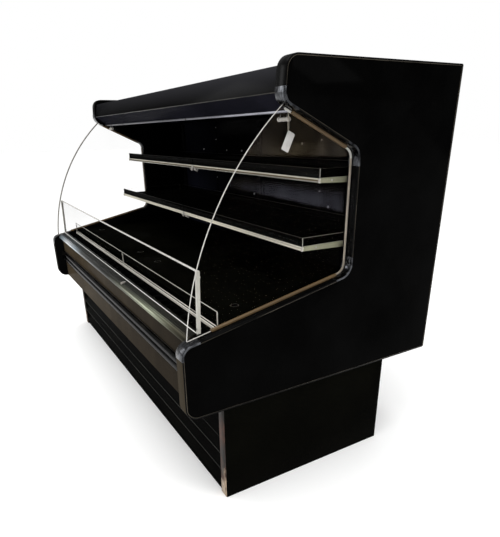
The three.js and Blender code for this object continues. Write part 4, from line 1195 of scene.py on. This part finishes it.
def makePipes():  # return bends on the condenser and the lines to the compressor
    low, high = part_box("condenserCoil")
    bends = []
    for i in range(5):
        z = low.z + (30 + i * 48) * mm
        y = (low.y + high.y) / 2
        arc = [(high.x + 1 * mm, y, z)]
        for s in range(9):
            angle = math.pi * s / 8
            arc.append((high.x + (6 + 12 * math.sin(angle)) * mm, y, z + 12 * mm - 12 * mm * math.cos(angle)))
        arc.append((high.x + 1 * mm, y, z + 24 * mm))
        bends.append((tube(arc, 4 * mm, 10), "copper"))
    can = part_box("compressor")
    middle = (can[0] + can[1]) / 2
    y, top = (low.y + high.y) / 2, can[1].z
    run = [(high.x + 2 * mm, y, high.z - 20 * mm), (high.x + 60 * mm, y, high.z - 16 * mm),
           (middle.x - 120 * mm, middle.y - 60 * mm, top + 8 * mm),
           (middle.x - 20 * mm, middle.y, top + 10 * mm), (middle.x, middle.y, top - 3 * mm)]
    bends.append((tube(smoothRun(run, 8), 4 * mm, 10), "copper"))
    piece("copperLines", bends, "cabinet")
    boxLow = (can[1].x - 6 * mm, middle.y - 28 * mm, can[0].z + 70 * mm)
    boxHigh = (can[1].x + 26 * mm, middle.y + 28 * mm, can[0].z + 140 * mm)
    piece("compressorTerminalBox", [(block(boxLow, boxHigh), "blackPlastic")], "cabinet", 3 * mm)
    seam = [(0, 93 * mm), (3 * mm, 94.5 * mm), (6 * mm, 93 * mm)]
    weld = turned(seam, (middle.x, middle.y, can[0].z + 150 * mm), (0, 0, 1), 40)
    piece("compressorWeldBand", [(weld, "compressorPaint")], "cabinet", 0.8 * mm)


def makeCaseBack():  # cover plate, seams and screws on the outside of the back and roof
    low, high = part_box("insulatedBody")
    y = high.y
    parts = []
    half = base["seamHalf"]
    for x in base["seams"]:
        stripLow = (x - half, y + 0.2 * mm, low.z + 20 * mm)
        parts.append((block(stripLow, (x + half, y + 1.6 * mm, high.z - 10 * mm)), "caseBack"))
        for z in base["seamScrews"]:
            parts.append((screwHead((x, y + 1.4 * mm, z), (0, 1, 0), 3.6 * mm), "steel"))
    parts.append((block((0.46, y + 0.2 * mm, 0.46), (0.78, y + 2.2 * mm, 0.66)), "caseBack"))
    for x in (0.475, 0.765):
        for z in (0.475, 0.645):
            parts.append((screwHead((x, y + 2.0 * mm, z), (0, 1, 0), 3.6 * mm), "steel"))
    piece("caseBackStrips", parts, "cabinet", 0.5 * mm)
    roof = []
    for x in base["seams"]:
        stripLow = (x - half, 4 * mm, high.z + 0.2 * mm)
        roof.append((block(stripLow, (x + half, y - 4 * mm, high.z + 1.4 * mm)), "caseBack"))
    piece("roofSeamStrips", roof, "cabinet", 0.4 * mm)


makeBase()
print("stage: base dressed")


# Blank hanging tag
tag = {
    "width": 26 * mm, "height": 54 * mm, "thickness": 0.9 * mm, "corner": 3 * mm,
    "drop": 44 * mm, "string": 0.45 * mm,
}


def makeTag():
    top = Vector((896 * mm, -114 * mm, 1182.1 * mm))
    hang = top - Vector((0, 0, tag["drop"]))
    tilt = -math.atan(tag["width"] / tag["height"])
    middle = hang - Vector((0, 0, math.hypot(tag["width"], tag["height"]) / 2))
    outline = []
    cut = tag["corner"]
    w, h = tag["width"] / 2, tag["height"] / 2
    for sy, sz, start in ((1, 1, 0), (-1, 1, 90), (-1, -1, 180), (1, -1, 270)):
        for s in range(5):
            a = math.radians(start + 90 * s / 4)
            u, v = sy * (w - cut) + cut * math.cos(a), sz * (h - cut) + cut * math.sin(a)
            y = middle.y + u * math.cos(tilt) - v * math.sin(tilt)
            outline.append((y, middle.z + u * math.sin(tilt) + v * math.cos(tilt)))
    plate = prism(outline, top.x - tag["thickness"] / 2, top.x + tag["thickness"] / 2)
    eye = hang - Vector((0, 0, 5 * mm))
    turns = [2 * math.pi * s / 16 for s in range(16)]
    eyelet = tube([eye + Vector((0, math.cos(a), math.sin(a))) * 2.4 * mm for a in turns], 0.7 * mm, 8, True)
    strands = []
    for offset in (-1 * mm, 1 * mm):
        run = [top, top + Vector((offset * 0.5, offset * 1.5, -18 * mm)),
               eye + Vector((offset * 0.7, offset, 8 * mm)), eye + Vector((offset * 0.8, 0, 2 * mm))]
        strands.append((tube(run, tag["string"], 6), "string"))
    parts = [(plate, "tagCard"), (eyelet, "steel")] + strands
    made = piece("blankTag", parts, "hang_tag", 0.15 * mm)
    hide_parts("hangTag")


makeTag()
print("stage: tag made")


# Studio
studio = {
    "eye": (2.0812, -0.9629, 1.1370),
    "right": (0.49923, 0.86624, -0.02005), "up": (-0.32711, 0.20984, 0.92139),
    "lens": 31.827, "shift": (0.02374, 0.11769),
    "floor": (0.95, 0.95, 0.945), "floorHalf": 40, "glossyLight": 0.3, "diffuseLight": 1.1,
    "panels": (  # name, place, target, size, power
        ("overheadPanel", (0.6, -0.4, 4.2), (0, 0, 0.5), (4.5, 3.5), 110),
        ("frontLeftPanel", (-2.6, -3.4, 2.2), (0, -0.2, 0.6), (1.6, 2.4), 50),
        ("rightPanel", (4.0, 1.6, 2.6), (0.6, 0, 0.7), (1.2, 2.2), 20)),
}


def makeCamera():
    camera = bpy.data.objects.new("camera", bpy.data.cameras.new("camera"))
    scene.collection.objects.link(camera)
    right, up = Vector(studio["right"]), Vector(studio["up"])
    back = right.cross(up).normalized()
    turn = Matrix((right, up, back)).transposed().to_4x4()
    camera.matrix_world = Matrix.Translation(studio["eye"]) @ turn
    camera.data.sensor_width = 36
    camera.data.sensor_fit = "AUTO"
    camera.data.lens = studio["lens"]
    camera.data.shift_x, camera.data.shift_y = studio["shift"]
    camera.data.clip_start = 0.02
    scene.camera = camera


def makeFloor():
    finish = Finish("studioFloor", roughness=0.85, specularLevel=0.1)
    cloud = finish.noise(0.7, detail=3.0)
    paler = tuple(min(1, v * 1.03) for v in studio["floor"]) + (1,)
    finish.feed(baseColor=finish.mix(studio["floor"] + (1,), paler, cloud))
    mesh = bpy.data.meshes.new("floor")
    half = studio["floorHalf"]
    corners = [(-half, -half, 0), (half, -half, 0), (half, half, 0), (-half, half, 0)]
    mesh.from_pydata(corners, [], [(0, 1, 2, 3)])
    mesh.materials.append(finish.material)
    floor = bpy.data.objects.new("floor", mesh)
    scene.collection.objects.link(floor)


def addPanel(name, at, target, size, power):
    lamp = bpy.data.lights.new(name, "AREA")
    lamp.shape = "RECTANGLE"
    lamp.size, lamp.size_y = size
    lamp.energy = power
    made = bpy.data.objects.new(name, lamp)
    made.location = at
    made.rotation_mode = "QUATERNION"
    made.rotation_quaternion = (Vector(target) - Vector(at)).to_track_quat("-Z", "Y")
    scene.collection.objects.link(made)


def makeWorld():
    world = bpy.data.worlds.new("studio")
    world.use_nodes = True
    scene.world = world
    tree = world.node_tree
    backdrop = tree.nodes["Background"]
    backdrop.inputs["Color"].default_value = (1, 1, 1, 1)
    path = tree.nodes.new("ShaderNodeLightPath")
    strength = tree.nodes.new("ShaderNodeMix")
    strength.inputs["A"].default_value = studio["diffuseLight"]
    strength.inputs["B"].default_value = 1.0
    tree.links.new(path.outputs["Is Camera Ray"], strength.inputs["Factor"])
    shine = tree.nodes.new("ShaderNodeMix")
    shine.inputs["B"].default_value = studio["glossyLight"]
    tree.links.new(strength.outputs["Result"], shine.inputs["A"])
    tree.links.new(path.outputs["Is Glossy Ray"], shine.inputs["Factor"])
    tree.links.new(shine.outputs["Result"], backdrop.inputs["Strength"])


makeCamera()
makeFloor()
makeWorld()
for panel in studio["panels"]:
    addPanel(*panel)
scene.view_settings.view_transform = "Standard"
print("stage: studio set")
